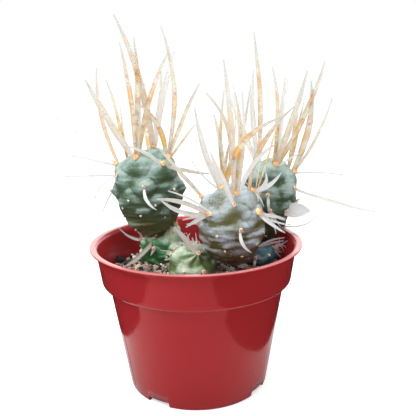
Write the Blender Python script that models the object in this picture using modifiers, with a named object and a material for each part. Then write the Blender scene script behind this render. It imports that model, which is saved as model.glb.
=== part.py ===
# A paper spine cactus in a red nursery pot: three stems of two joints each, in gritty soil.
# Metres, +Z up. The origin is the middle of the pot's flat underside, and -Y is the front.

import math
import random

import bmesh
import bpy
from mathutils import Matrix, Vector, noise

MM = 0.001
GAP = 0.3 * MM

# Pot: an injection-moulded shell with a flat lip and a straight band over a tapered body
POT_HEIGHT = 77.0 * MM
POT_WALL = 1.1 * MM
LIP_RADIUS = 55.2 * MM
LIP_EDGE = 0.3 * MM
BAND_TOP_RADIUS = 52.3 * MM
BAND_FOOT_RADIUS = 49.5 * MM
BAND_DEPTH = 18.5 * MM
CREASE_RADIUS = 46.2 * MM
CREASE_DROP = 1.4 * MM
BASE_RADIUS = 36.9 * MM
BASE_EDGE = 0.8 * MM
POT_STEPS = 48
NOTCH_COUNT = 4
NOTCH_TURN = -34.0
NOTCH_WIDTH = 12.8 * MM
NOTCH_HEIGHT = 2.9 * MM
NOTCH_INNER_RADIUS = 32.0 * MM

# Soil: fills the pot to the ledge behind the band, with coarse grains on top
SOIL_TOP = 59.9 * MM
SOIL_MOUND = 1.2 * MM
SOIL_ROUGHNESS = 1.3 * MM
SOIL_GRID = 4.8 * MM
SOIL_STEPS = 32
SOIL_HOLE_GAP = 0.6 * MM
SOIL_CORNER = 3.0 * MM
GRIT_SCALES = (310.0, 700.0)
FINE_GRIT = 0.6
GRAIN_COUNT = 16
GRAIN_RADIUS = (1.6 * MM, 2.7 * MM)
GRAIN_SEED = 7
GRAIN_SQUASH = (1.15, 0.9, 0.75)
GRAIN_FROM_WALL = 5.0 * MM
AIR_OVER_POT = 10.0 * MM

# Joints: areoles sit on low tubercles and carry the flat papery spines
TUBERCLE_SPREAD = 14.5
TUBERCLE_MIDDLE = 0.4
FILL_AREOLES = 30
FILL_DISTANCE = 29.0
GOLDEN_ANGLE = 137.5
AREOLE_RADIUS = 1.15 * MM
AREOLE_SINK = 0.35 * MM
AREOLE_ABOVE_SOIL = 5.0 * MM
SPINE_ROOT_DEPTH = 1.4 * MM
ROOT_SPREAD = 0.7 * MM
SPINE_THICKNESS = 0.9 * MM
SPINE_TIP_THICKNESS = 0.6 * MM
THIN_SPINE_WIDTH = 1.35
BLADE_STATIONS = 5
THIN_STATIONS = 3

# Each joint: centre, half width and half height in mm, taper towards its foot, lean to the right
# in degrees, tubercle height in mm, sides and rings of its mesh, and the seed of its hidden areoles.
# One has a tall tubercle too: its place, its height in mm and its spread in degrees.
JOINTS = {
    "joint_left_lower": dict(
        centre=(-19.2, 20.0, 66.0), half_width=12.6, half_height=12.3, taper=0.0, lean=0.0,
        tubercle=1.8, sides=20, rings=12, seed=11, peak=((54, 54), 6.5, 16.0),
    ),
    "joint_left_upper": dict(
        centre=(-25.0, 18.0, 100.0), half_width=18.2, half_height=25.2, taper=0.04, lean=-5.0,
        tubercle=2.6, sides=26, rings=17, seed=12,
    ),
    "joint_centre_lower": dict(
        centre=(-2.0, -6.0, 63.8), half_width=12.8, half_height=13.3, taper=0.0, lean=0.0,
        tubercle=1.4, sides=22, rings=12, seed=13,
    ),
    "joint_centre_upper": dict(
        centre=(18.0, -10.0, 87.5), half_width=17.0, half_height=21.0, taper=0.04, lean=-2.0,
        tubercle=2.6, sides=26, rings=16, seed=14,
    ),
    "joint_right_lower": dict(
        centre=(31.8, 10.5, 61.5), half_width=12.8, half_height=11.2, taper=0.08, lean=0.0,
        tubercle=1.5, sides=20, rings=11, seed=15,
    ),
    "joint_right_upper": dict(
        centre=(39.8, 16.2, 93.5), half_width=14.1, half_height=24.0, taper=0.28, lean=6.0,
        tubercle=2.2, sides=24, rings=16, seed=16,
    ),
}

# Areoles in view: azimuth from the front towards the right and height angle, in degrees, then the
# spines of each: length, lean to the right, lean to the back, sideways bow and width (mm, degrees).
AREOLES = {
    "joint_left_lower": (
        ((-84, 30), ((15, -62, 2, 2.2, 1.0), (10, -68, 6, 1, 0.9), (6, -40, -4, 0.6, 0.8))),
        ((-27, 46), ((23, -127, -20, -1.6, 2.0),)),
        ((-17, 19), ((4, -145, -25, 0, 1.2),)),
        ((33, 48), ((13, 2, 8, -0.6, 0.9),)),
        ((50, 57), ((3.5, 20, -8, 0, 1.0),)),
    ),
    "joint_left_upper": (
        ((-16, 52), (
            (59, -6, 4, 2, 2.2), (46, -28, -9, -0.8, 3.2), (62, 0, 9, 2, 2.6), (57, 17, 12, -1.3, 2.2),
        )),
        ((54, 69), ((70, -14, -3, 3, 3.0), (52, 13, 11, -1.2, 3.0))),
        ((66, 45), (
            (67, -1, 2, 4, 2.2), (32, -24.3, -8, 2.6, 2.4), (42, 24, 5, -1, 1.8), (22, 38, 0, 0, 1.2),
        )),
        ((-86, 40), ((52, -10.6, 4, -2.3, 1.8), (42, -52, 8, 0, 0.9), (24, -75, -8, 0, 0.9))),
        ((-55, 28), ((29, -90, 0, 0, 0.9), (23, -148, -8, 3, 0.9))),
        ((-82, 7), ((17, -156, 0, 0, 0.9),)),
        ((38, 37), ((18.5, -61, -19, 0.3, 1.9), (25, 103, 8, 2.0, 1.6))),
        ((-1, 15), ((14, 151, -24, 2.2, 1.5),)),
        ((47, 5), ()),
        ((-31, -1), ()),
        ((12, -9), ()),
        ((-15, -21), ()),
        ((29, -28), ()),
        ((-51, -12), ()),
        ((88, -1), ()),
    ),
    "joint_centre_lower": (
        ((16, 46), ((19, -36, -8, 0, 2.4), (9, -20, 4, 0, 0.9))),
        ((-66, 36), ((5, -100, -10, 1, 0.9),)),
        ((24, 8), ((6, -92, -30, 0, 0.9),)),
        ((-25, 72), (
            (6, -62, -10, 1.5, 1.0), (8, 8, -6, -1, 1.0), (7, 52, -14, 1.6, 1.1), (5, 95, -20, 1, 1.0),
            (5, 150, -30, 0.5, 0.9),
        )),
    ),
    "joint_centre_upper": (
        ((-90, 43), ((34, -40, 0, 0, 1.8),)),
        ((3, 38), ((29, -23, -8, 0, 2.2),)),
        ((-34, 68), (
            (45, 33.9, -20, -5.8, 2.7), (46.5, -9.2, 2, 7.5, 2.0), (41.5, -16.6, -3, -1.7, 2.6),
            (18, -15, -8, -0.5, 2.2), (19.5, -42, -6, -1.2, 0.8), (24, 6.5, 0, -0.8, 1.5),
        )),
        ((12, 54), (
            (48.6, 0.5, 5, 2.4, 2.2), (48.6, 3.4, 3, 1.6, 1.6), (64, -3.7, 5, 0.8, 2.6),
            (30, 35, -4, -2.6, 2.0),
        )),
        ((66, 53), (
            (46.5, 27, -4, -5, 2.2), (14, 30, -12, 4.2, 1.8), (18, 53, -14, 2, 1.7),
            (9, 144, -10, 0, 0.9), (7, 172, -12, -0.6, 0.8),
        )),
        ((-42, 25), (
            (27, -72, 0, 2, 2.0), (27, -69, -12, -3, 2.0), (12, -118, -4, 0, 1.4), (25, -59, -6, 1.5, 0.9),
        )),
        ((48, 23), ((15, 100, -8, 0, 1.4), (16, 125, -16, 1, 1.4))),
        ((11, 5), ((12, 154, -20, 2.0, 1.4),)),
        ((-69, 11), ((7, -95, -6, 0, 0.9),)),
        ((-27, -3), ()),
        ((-17, -25), ()),
        ((16, -36), ()),
        ((61, -6), ()),
        ((44, -20), ()),
        ((83, 11), ()),
    ),
    "joint_right_lower": (
        ((-3, 26), ((4.5, 82, -25, 0, 0.8), (4.6, -174, -24, 0, 1.4))),
        ((10, 60), ((15.5, 70, -2, -0.5, 1.1), (14, 74, -6, 0.4, 1.3))),
        ((67, 43), ((10, 64, -5, 0.3, 0.9), (6, 112, -6, -2.6, 1.0), (5.5, 145, -6, 1, 0.8))),
        ((85, 30), ((5, 50, -8, -1, 0.9), (3.5, 96, -30, 0.4, 0.8))),
        ((-32, 26), ()),
    ),
    "joint_right_upper": (
        ((-88, 64), ((22, -20, -6, 0, 0.8), (68, -2, 6, 1.8, 2.4), (48, -2.7, 2, -1.6, 2.2))),
        ((3, 61), (
            (51, 0.5, 9, 2.4, 2.0), (46, 8, 9, 0.7, 2.6), (51, 17.7, -1, 0.7, 2.8), (59, 25, 4, 2.5, 2.4),
            (13.5, 60, 0, 0, 0.8),
        )),
        ((67, 47), ((49, 10.6, 0, 2.9, 3.2), (44, 28, 5, 2, 1.4), (27, 94, 6, 0, 0.9))),
        ((48, 25), ((47, 107, 0, 2, 1.4),)),
        ((-10, 15), ((9, 178, -18, 0, 1.4),)),
        ((36, -5), ((13.5, 90, -6, -0.5, 7.0),)),
        ((-60, 40), ((6.8, 184, -8, 2.4, 1.1),)),
        ((76, 5), ((4, 65, 0, 0, 0.9),)),
        ((80, -33), ((24, 61, -4, 3.6, 0.8),)),
        ((-3, -4), ((10.5, 121, -10, 0.4, 1.2), (8, 165, -12, 0.5, 1.3), (11, 147, -14, 0, 0.8))),
    ),
}

# Spines of the areoles out of view: lengths in mm and how far they spread from the vertical
CROWN_LATITUDE = 28.0
LOWEST_HIDDEN = -0.25
HIDDEN_LENGTH = (34.0, 58.0)
HIDDEN_WIDTH = (1.8, 2.8)
HIDDEN_SPREAD = (8.0, 30.0)
HIDDEN_BOW = 0.045
SIDE_LENGTH = (6.0, 12.0)
SIDE_WIDTH = 1.0
SIDE_TURN = 35.0
DROOP = 0.7
SPINE_CLEARANCE = 2.0 * MM
CLEAR_SHARES = (0.35, 0.55, 0.75, 1.0)
DRAWS = 8

COLLECTION_NAME = "potted_paper_spine_cactus"


def start_clean():
    for old in list(bpy.data.objects):
        bpy.data.objects.remove(old)


def make_collection(name):
    collection = bpy.data.collections.new(name)
    bpy.context.scene.collection.children.link(collection)
    return collection


def make_material(name, color, roughness):
    material = bpy.data.materials.new(name)
    material.use_nodes = True
    shader = material.node_tree.nodes["Principled BSDF"]
    shader.inputs["Base Color"].default_value = (*color, 1.0)
    shader.inputs["Roughness"].default_value = roughness
    shader.inputs["Metallic"].default_value = 0.0
    material.diffuse_color = (*color, 1.0)
    return material


def object_from_bmesh(name, bm, collection, material=None):
    mesh = bpy.data.meshes.new(name)
    bm.to_mesh(mesh)
    bm.free()
    if material:
        mesh.materials.append(material)
    made = bpy.data.objects.new(name, mesh)
    collection.objects.link(made)
    return made


def apply_modifiers(target):
    bpy.context.view_layer.objects.active = target
    for modifier in list(target.modifiers):
        bpy.ops.object.modifier_apply(modifier=modifier.name)


def boolean(target, cutter, operation):
    modifier = target.modifiers.new(operation.title(), "BOOLEAN")
    modifier.operation = operation
    modifier.object = cutter
    modifier.solver = "EXACT"
    apply_modifiers(target)


def hide_guide(guide):
    guide.hide_render = True
    guide.display_type = "WIRE"


# A turned solid from a profile of (radius, height) points that runs down its outer side
def turned(name, profile, steps, collection, material=None):
    bm = bmesh.new()
    points = [bm.verts.new((radius, 0.0, height)) for radius, height in profile]
    for start, end in zip(points, points[1:]):
        bm.edges.new((start, end))
    if profile[0][0] > 0.0:
        bm.edges.new((points[-1], points[0]))
    made = object_from_bmesh(name, bm, collection, material)
    screw = made.modifiers.new("Screw", "SCREW")
    screw.steps = steps
    screw.render_steps = steps
    screw.use_merge_vertices = True
    screw.merge_threshold = 0.00001
    return made


# Radius of the pot's outside below the band and of the band itself, at a height
def body_radius(height):
    share = height / (POT_HEIGHT - BAND_DEPTH - CREASE_DROP)
    return BASE_RADIUS + (CREASE_RADIUS - BASE_RADIUS) * share


def band_radius(height):
    share = (height - POT_HEIGHT + BAND_DEPTH) / BAND_DEPTH
    return BAND_FOOT_RADIUS + (BAND_TOP_RADIUS - BAND_FOOT_RADIUS) * share


# The step in under the band, as a quarter of an ellipse, moved in by a wall for the inner face
def shoulder(inset, lift, count):
    points = []
    for i in range(count + 1):
        angle = math.radians(90.0 * i / count)
        radius = CREASE_RADIUS + (BAND_FOOT_RADIUS - CREASE_RADIUS) * math.cos(angle)
        height = POT_HEIGHT - BAND_DEPTH - CREASE_DROP * math.sin(angle)
        points.append((radius - inset, height + lift))
    return points


def make_pot(collection, cutters):
    plastic = make_material("red_moulded_plastic", (0.33, 0.022, 0.022), 0.3)
    floor_top = POT_WALL
    lip_bottom = POT_HEIGHT - POT_WALL
    outside = [
        (LIP_RADIUS - LIP_EDGE, POT_HEIGHT),
        (LIP_RADIUS, POT_HEIGHT - LIP_EDGE),
        (LIP_RADIUS, lip_bottom + LIP_EDGE),
        (LIP_RADIUS - LIP_EDGE, lip_bottom),
        (band_radius(lip_bottom), lip_bottom),
    ]
    outside += shoulder(0.0, 0.0, 3)
    outside += [
        (body_radius(BASE_EDGE), BASE_EDGE),
        (BASE_RADIUS - BASE_EDGE, 0.0),
        (0.0, 0.0),
    ]
    inside = [
        (0.0, floor_top),
        (BASE_RADIUS - POT_WALL - BASE_EDGE, floor_top),
        (body_radius(floor_top + BASE_EDGE) - POT_WALL, floor_top + BASE_EDGE),
    ]
    inside += reversed(shoulder(POT_WALL, POT_WALL, 2))
    inside.append((band_radius(POT_HEIGHT) - POT_WALL, POT_HEIGHT - LIP_EDGE))
    inside.append((band_radius(POT_HEIGHT) - POT_WALL + LIP_EDGE, POT_HEIGHT))
    pot = turned("pot", outside + inside, POT_STEPS, collection, plastic)
    for i in range(NOTCH_COUNT):
        turn = math.radians(NOTCH_TURN + i * 360.0 / NOTCH_COUNT)
        length = LIP_RADIUS - NOTCH_INNER_RADIUS
        middle = NOTCH_INNER_RADIUS + length / 2.0
        bpy.ops.mesh.primitive_cube_add(size=1.0)
        notch = bpy.context.active_object
        notch.name = "notch_cutter_%d" % (i + 1)
        notch.scale = (NOTCH_WIDTH, length, 2.0 * NOTCH_HEIGHT)
        notch.rotation_euler = (0.0, 0.0, turn)
        notch.location = (math.sin(turn) * middle, -math.cos(turn) * middle, 0.0)
        for home in list(notch.users_collection):
            home.objects.unlink(notch)
        cutters.objects.link(notch)
        hide_guide(notch)
        cut = pot.modifiers.new("Notch %d" % (i + 1), "BOOLEAN")
        cut.operation = "DIFFERENCE"
        cut.object = notch
    return pot


# Matrix that puts a unit joint, leaned about the front-to-back axis, in its place
def joint_matrix(spec):
    lean = Matrix.Rotation(math.radians(spec["lean"]), 4, "Y")
    return Matrix.Translation(Vector(spec["centre"]) * MM) @ lean


def direction(azimuth, latitude):
    turn = math.radians(azimuth)
    rise = math.radians(latitude)
    return Vector((math.sin(turn) * math.cos(rise), -math.cos(turn) * math.cos(rise), math.sin(rise)))


# Areoles of a joint: those in view, then the rest on a spiral wherever there is room for one.
# The buried foot of a lower joint has none, so it fits its plain hole in the soil.
def areole_directions(name):
    spec = JOINTS[name]
    shown = [direction(*place) for place, spines in AREOLES[name]]
    kept = list(shown)
    for i in range(FILL_AREOLES):
        latitude = math.degrees(math.asin(1.0 - 2.0 * (i + 0.5) / FILL_AREOLES))
        candidate = direction(i * GOLDEN_ANGLE + 10.0 * spec["seed"], latitude)
        if (spec["centre"][2] + spec["half_height"] * candidate.z) * MM < SOIL_TOP + 1.0 * MM:
            continue
        if all(math.degrees(candidate.angle(other)) > FILL_DISTANCE for other in kept):
            kept.append(candidate)
    return shown, kept[len(shown):]


# Distance out to a joint's skin in a direction: an egg form with a tubercle under each areole
def skin_point(spec, way, tubercles, grow=0.0):
    width = spec["half_width"] * MM
    height = spec["half_height"] * MM
    egg = 1.0 + spec["taper"] * way.z
    point = Vector((way.x * width * egg, way.y * width * egg, way.z * height))
    nearest = min(math.degrees(way.angle(other)) for other in tubercles)
    rise = math.exp(-((nearest / TUBERCLE_SPREAD) ** 2)) - TUBERCLE_MIDDLE
    outward = Vector((way.x / width, way.y / width, way.z / height)).normalized()
    if "peak" in spec:
        spot, tall, spread = spec["peak"]
        away = math.degrees(way.angle(direction(*spot)))
        grow += tall * MM * math.exp(-((away / spread) ** 2))
    return point + outward * (spec["tubercle"] * MM * rise + grow)


def joint_body(name, collection, material=None, grow=0.0):
    spec = JOINTS[name]
    shown, hidden = areole_directions(name)
    bm = bmesh.new()
    bmesh.ops.create_uvsphere(bm, u_segments=spec["sides"], v_segments=spec["rings"], radius=1.0)
    place = joint_matrix(spec)
    for vert in bm.verts:
        vert.co = place @ skin_point(spec, vert.co.normalized(), shown + hidden, grow)
    # Split alike on a joint and on its grown copy, so that the gap between them is even
    bmesh.ops.triangulate(bm, faces=bm.faces, quad_method="FIXED")
    return object_from_bmesh(name, bm, collection, material)


def areole_cushion(place, collection):
    bm = bmesh.new()
    bmesh.ops.create_icosphere(bm, subdivisions=1, radius=AREOLE_RADIUS, matrix=Matrix.Translation(place))
    return object_from_bmesh("areole", bm, collection)


# A spine's half width along its length: narrow root, full middle, long taper to the tip
def blade_profile(share):
    swell = min(1.0, 0.55 + 1.5 * share)
    return swell * (1.0 - 0.75 * share ** 1.6)


# A loft of flat diamond or three-sided sections along a bowed line, closed to a point at the tip
def spine_solid(root, heading, length, side, bow, width, collection):
    broad = width > THIN_SPINE_WIDTH
    stations = BLADE_STATIONS if broad else THIN_STATIONS
    flat = heading.cross(side).normalized()
    bm = bmesh.new()
    rings = []
    for i in range(stations):
        share = i / stations
        middle = root + heading * (length * share) + side * (bow * 4.0 * share * (1.0 - share))
        half = 0.5 * width * MM * blade_profile(share)
        thick = 0.5 * (SPINE_THICKNESS + (SPINE_TIP_THICKNESS - SPINE_THICKNESS) * share)
        if broad:
            corners = (side * half, flat * thick, -side * half, -flat * thick)
        else:
            half = max(half, thick)
            corners = [
                (side * math.cos(turn) + flat * math.sin(turn)) * half
                for turn in (0.0, 2.0 * math.pi / 3.0, 4.0 * math.pi / 3.0)
            ]
        rings.append([bm.verts.new(middle + corner) for corner in corners])
    tip = bm.verts.new(root + heading * length)
    for low, high in zip(rings, rings[1:]):
        for k in range(len(low)):
            bm.faces.new((low[k - 1], low[k], high[k], high[k - 1]))
    for k in range(len(rings[-1])):
        bm.faces.new((rings[-1][k - 1], rings[-1][k], tip))
    bm.faces.new(rings[0])
    bmesh.ops.recalc_face_normals(bm, faces=bm.faces)
    return object_from_bmesh("spine", bm, collection)


# A spine from an areole, headed by its lean to the right and to the back
def hero_spine(areole, centre, row, collection):
    length, lean, back, bow, width = row
    lean = math.radians(lean)
    back = math.radians(back)
    heading = Vector((math.sin(lean) * math.cos(back), math.sin(back), math.cos(lean) * math.cos(back)))
    side = Vector((math.cos(lean), 0.0, -math.sin(lean)))
    inward = (centre - areole).normalized() * SPINE_ROOT_DEPTH
    return spine_solid(areole + inward, heading, length * MM, side, bow * MM, width, collection)


# Whether a straight spine keeps clear of the other joints, the pot's wall and the soil
def is_clear(name, root, heading, length):
    for share in CLEAR_SHARES:
        point = root + heading * length * share
        reach = math.hypot(point.x, point.y)
        if point.z < POT_HEIGHT + SPINE_CLEARANCE and reach > BAND_FOOT_RADIUS - 2.0 * SPINE_CLEARANCE:
            return False
        if point.z < SOIL_TOP + 2.0 * SPINE_CLEARANCE:
            return False
        for other, spec in JOINTS.items():
            if other == name:
                continue
            local = joint_matrix(spec).inverted() @ point
            width = spec["half_width"] * MM + SPINE_CLEARANCE
            height = spec["half_height"] * MM + SPINE_CLEARANCE
            if Vector((local.x / width, local.y / width, local.z / height)).length < 1.0:
                return False
    return True


# A spine out of view: it leaves the skin outward and turns up, by a seeded draw
def hidden_spine(areole, outward, crown, draw):
    if crown:
        spread = math.radians(draw.uniform(*HIDDEN_SPREAD))
        length = draw.uniform(*HIDDEN_LENGTH)
        width = draw.uniform(*HIDDEN_WIDTH)
        level = Vector((outward.x, outward.y, 0.0)).normalized()
        level.rotate(Matrix.Rotation(math.radians(draw.uniform(-SIDE_TURN, SIDE_TURN)), 3, "Z"))
        heading = (level * math.sin(spread) + Vector((0.0, 0.0, math.cos(spread)))).normalized()
    else:
        length = draw.uniform(*SIDE_LENGTH)
        width = SIDE_WIDTH
        droop = Vector((draw.uniform(-0.5, 0.5), draw.uniform(-0.5, 0.5), draw.uniform(-0.9, 0.2)))
        heading = (outward + droop * DROOP).normalized()
    side = heading.cross(outward)
    if side.length < 0.05:
        side = heading.cross(Vector((1.0, 0.0, 0.0)))
    side.normalize()
    bow = draw.uniform(-HIDDEN_BOW, HIDDEN_BOW) * length * MM
    root = areole - outward * SPINE_ROOT_DEPTH
    return root, heading, length * MM, side, bow, width


def fuse(body, pieces):
    union = body.modifiers.new("Union", "BOOLEAN")
    union.operation = "UNION"
    union.operand_type = "COLLECTION"
    union.collection = pieces
    # Closed pieces that cross closely, such as spines of one areole, stay closed with this solver
    union.solver = "MANIFOLD"
    apply_modifiers(body)
    for piece in list(pieces.objects):
        bpy.data.objects.remove(piece)
    bpy.data.collections.remove(pieces)
    keep_largest(body)


# Fills hollows sealed by the union and drops scraps: only the largest island of faces stays
def keep_largest(body):
    bm = bmesh.new()
    bm.from_mesh(body.data)
    waiting = set(bm.faces)
    islands = []
    while waiting:
        stack = [waiting.pop()]
        island = list(stack)
        while stack:
            for edge in stack.pop().edges:
                for face in edge.link_faces:
                    if face in waiting:
                        waiting.remove(face)
                        stack.append(face)
                        island.append(face)
        islands.append(island)
    islands.sort(key=len)
    for island in islands[:-1]:
        bmesh.ops.delete(bm, geom=island, context="FACES")
    bm.to_mesh(body.data)
    bm.free()


def make_joint(name, collection, material):
    spec = JOINTS[name]
    body = joint_body(name, collection, material)
    shown, hidden = areole_directions(name)
    tubercles = shown + hidden
    place = joint_matrix(spec)
    centre = place.translation
    pieces = make_collection(name + "_repeats")
    for way, (_, rows) in zip(shown, AREOLES[name]):
        areole = place @ skin_point(spec, way, tubercles, -AREOLE_SINK)
        if areole.z < SOIL_TOP + AREOLE_ABOVE_SOIL:
            continue
        if rows:
            areole_cushion(areole, pieces)
        for number, row in enumerate(sorted(rows, key=lambda row: row[1])):
            spread = number - (len(rows) - 1) / 2.0
            apart = Vector((spread, (number % 2 - 0.5) * min(1, len(rows) - 1), 0.0)) * ROOT_SPREAD
            hero_spine(areole + apart, centre, row, pieces)
    draw = random.Random(spec["seed"])
    upper = name.endswith("upper")
    for way in hidden:
        areole = place @ skin_point(spec, way, tubercles, -AREOLE_SINK)
        outward = (place.to_3x3() @ way).normalized()
        behind = way.y > 0.05
        if not behind or areole.z < SOIL_TOP + AREOLE_ABOVE_SOIL or way.z < LOWEST_HIDDEN:
            continue
        if not is_clear(name, areole, outward, AREOLE_RADIUS):
            continue
        areole_cushion(areole, pieces)
        crown = upper and way.z > math.sin(math.radians(CROWN_LATITUDE))
        for _ in range(2 if crown else 1):
            for _ in range(DRAWS):
                root, heading, length, side, bow, width = hidden_spine(areole, outward, crown, draw)
                if is_clear(name, root, heading, length):
                    spine_solid(root, heading, length, side, bow, width, pieces)
                    break
    fuse(body, pieces)
    return body


# A joint is seated in the one below it: the lower skin is cut back by the upper one and a gap
def seat(lower, upper_name, cutters):
    grown = joint_body(upper_name, cutters, grow=GAP)
    grown.name = upper_name + "_seat_cutter"
    hide_guide(grown)
    boolean(lower, grown, "DIFFERENCE")


def soil_height(x, y):
    reach = (x * x + y * y) / BAND_FOOT_RADIUS ** 2
    coarse, fine = GRIT_SCALES
    grit = noise.noise(Vector((x, y, 0.0)) * coarse) + FINE_GRIT * noise.noise(Vector((x, y, 5.0)) * fine)
    return SOIL_TOP + SOIL_MOUND * (1.0 - reach) + SOIL_ROUGHNESS * grit


def make_soil(collection, cutters):
    grit = make_material("gritty_soil", (0.13, 0.095, 0.075), 0.95)
    inset = POT_WALL + GAP
    ledge = POT_HEIGHT - BAND_DEPTH - CREASE_DROP + POT_WALL
    profile = [
        (0.0, POT_HEIGHT),
        (CREASE_RADIUS - inset, POT_HEIGHT),
        (CREASE_RADIUS - inset, ledge),
        (body_radius(POT_WALL + SOIL_CORNER) - inset, POT_WALL + SOIL_CORNER),
        (BASE_RADIUS - inset - SOIL_CORNER, POT_WALL + GAP),
        (0.0, POT_WALL + GAP),
    ]
    soil = turned("soil", profile, SOIL_STEPS, collection, grit)
    apply_modifiers(soil)

    # Everything above the grainy surface is cut off by a block whose underside is that surface
    cells = int(2.2 * LIP_RADIUS / SOIL_GRID)
    bm = bmesh.new()
    bmesh.ops.create_grid(bm, x_segments=cells, y_segments=cells, size=1.1 * LIP_RADIUS)
    for vert in bm.verts:
        vert.co.z = soil_height(vert.co.x, vert.co.y)
    raised = bmesh.ops.extrude_face_region(bm, geom=bm.faces[:])
    for item in raised["geom"]:
        if isinstance(item, bmesh.types.BMVert):
            item.co.z = POT_HEIGHT + AIR_OVER_POT
    bmesh.ops.recalc_face_normals(bm, faces=bm.faces)
    air = object_from_bmesh("soil_surface_cutter", bm, cutters)
    hide_guide(air)
    boolean(soil, air, "DIFFERENCE")

    # Coarse stones, half sunk in the surface
    draw = random.Random(GRAIN_SEED)
    stones = make_collection("stones")
    for _ in range(GRAIN_COUNT):
        radius = draw.uniform(*GRAIN_RADIUS)
        reach = math.sqrt(draw.uniform(0.15, 1.0)) * (BAND_FOOT_RADIUS - GRAIN_FROM_WALL)
        turn = draw.uniform(0.0, 2.0 * math.pi)
        x = reach * math.cos(turn)
        y = reach * math.sin(turn)
        place = Matrix.Translation((x, y, soil_height(x, y)))
        tumble = Matrix.Rotation(draw.uniform(0.0, 3.0), 4, Vector((draw.random(), draw.random(), 1.0)))
        squash = Matrix.Diagonal((*GRAIN_SQUASH, 1.0))
        bm = bmesh.new()
        bmesh.ops.create_icosphere(bm, subdivisions=1, radius=radius, matrix=place @ tumble @ squash)
        object_from_bmesh("stone", bm, stones)
    fuse(soil, stones)

    for name in ("joint_left_lower", "joint_centre_lower", "joint_right_lower"):
        hole = joint_body(name, cutters, grow=SOIL_HOLE_GAP)
        hole.name = name + "_hole_cutter"
        hide_guide(hole)
        boolean(soil, hole, "DIFFERENCE")
    keep_largest(soil)
    return soil


def main():
    start_clean()
    collection = make_collection(COLLECTION_NAME)
    cutters = make_collection("cutters")
    skins = {
        "joint_left_lower": make_material("green_skin", (0.08, 0.17, 0.10), 0.6),
        "joint_left_upper": make_material("grey_green_skin", (0.12, 0.19, 0.14), 0.6),
        "joint_centre_lower": make_material("mint_skin", (0.35, 0.47, 0.34), 0.6),
        "joint_centre_upper": make_material("bloomed_olive_skin", (0.18, 0.20, 0.16), 0.6),
        "joint_right_lower": make_material("blue_green_skin", (0.04, 0.12, 0.12), 0.6),
        "joint_right_upper": make_material("dark_green_skin", (0.11, 0.16, 0.12), 0.6),
    }
    make_pot(collection, cutters)
    make_soil(collection, cutters)
    joints = {name: make_joint(name, collection, skins[name]) for name in JOINTS}
    for stem in ("left", "centre", "right"):
        seat(joints["joint_%s_lower" % stem], "joint_%s_upper" % stem, cutters)


main()
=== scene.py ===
import math
import random
from functools import partial

import bmesh
import bpy
import numpy as np
from mathutils import Matrix, Vector, noise
from mathutils.bvhtree import BVHTree


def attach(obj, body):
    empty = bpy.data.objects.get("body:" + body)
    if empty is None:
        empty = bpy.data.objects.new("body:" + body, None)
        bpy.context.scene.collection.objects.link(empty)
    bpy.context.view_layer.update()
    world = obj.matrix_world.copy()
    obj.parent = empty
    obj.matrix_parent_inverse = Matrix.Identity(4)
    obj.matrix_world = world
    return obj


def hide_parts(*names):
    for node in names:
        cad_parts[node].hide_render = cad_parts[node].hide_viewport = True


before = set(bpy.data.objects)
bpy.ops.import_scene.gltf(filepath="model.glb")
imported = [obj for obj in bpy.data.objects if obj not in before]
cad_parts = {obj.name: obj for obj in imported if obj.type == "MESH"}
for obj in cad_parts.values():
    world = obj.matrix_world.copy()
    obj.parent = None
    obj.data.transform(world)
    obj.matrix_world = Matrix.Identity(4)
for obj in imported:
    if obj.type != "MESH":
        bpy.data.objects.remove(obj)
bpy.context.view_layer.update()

mm = 0.001
print("frame loaded:", ", ".join(sorted(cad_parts)))

upAxis = (0.0, 0.0, 1.0)
asColour = {"data_type": "RGBA"}
multiply = {"operation": "MULTIPLY"}
multiplyAdd = {"operation": "MULTIPLY_ADD"}
# which output of a node is used, where it isn't the first
mainOutput = {"Mix": 2, "Attribute": "Fac", "TexCoord": "Object", "SeparateXYZ": "Z",
              "LightPath": "Is Camera Ray"}


# Small helpers

def linear(hexColour):
    shares = [int(hexColour[i:i + 2], 16) / 255.0 for i in (1, 3, 5)]
    return [s / 12.92 if s <= 0.04045 else ((s + 0.055) / 1.055) ** 2.4 for s in shares] + [1.0]


# Sockets go by name or number. Of a MapRange 1 and 2 are the range in, 3 and 4 the range out, and of
# a colour Mix 0 is the share, 6 and 7 are the colours.
def addNode(tree, kind, settings=(), inputs=()):
    node = tree.nodes.new("ShaderNode" + kind)
    for name, value in dict(settings).items():
        if name == "stops":  # colour ramp: (position, colour) pairs
            ramp = node.color_ramp.elements
            while len(ramp) < len(value):
                ramp.new(0.5)
            for stop, (position, hexColour) in zip(ramp, value):
                stop.position = position
                stop.color = linear(hexColour)
        else:
            setattr(node, name, value)
    for name, value in dict(inputs).items():
        if isinstance(value, bpy.types.NodeSocket):
            tree.links.new(value, node.inputs[name])
        elif isinstance(value, str):
            node.inputs[name].default_value = linear(value)
        else:
            node.inputs[name].default_value = value
    return node.outputs[mainOutput.get(kind, 0)]


def newMaterial(name, sockets):
    material = bpy.data.materials.new(name)
    material.use_nodes = True
    shader = material.node_tree.nodes["Principled BSDF"]
    for socket, value in sockets.items():
        shader.inputs[socket].default_value = linear(value) if isinstance(value, str) else value
    return material, partial(addNode, material.node_tree)


def plug(material, sources):
    tree = material.node_tree
    for socket, source in sources.items():
        tree.links.new(source, tree.nodes["Principled BSDF"].inputs[socket])
    return material


def newPiece(bm, name, material, sharpAngle=40.0):
    mesh = bpy.data.meshes.new(name)
    bm.to_mesh(mesh)
    bm.free()
    mesh.materials.append(material)
    mesh.shade_smooth()
    mesh.set_sharp_from_angle(angle=math.radians(sharpAngle))
    piece = bpy.data.objects.new(name, mesh)
    bpy.context.scene.collection.objects.link(piece)
    return piece


def appendMesh(target, part):
    mesh = bpy.data.meshes.new("part")
    part.to_mesh(mesh)
    part.free()
    target.from_mesh(mesh)
    bpy.data.meshes.remove(mesh)


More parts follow.
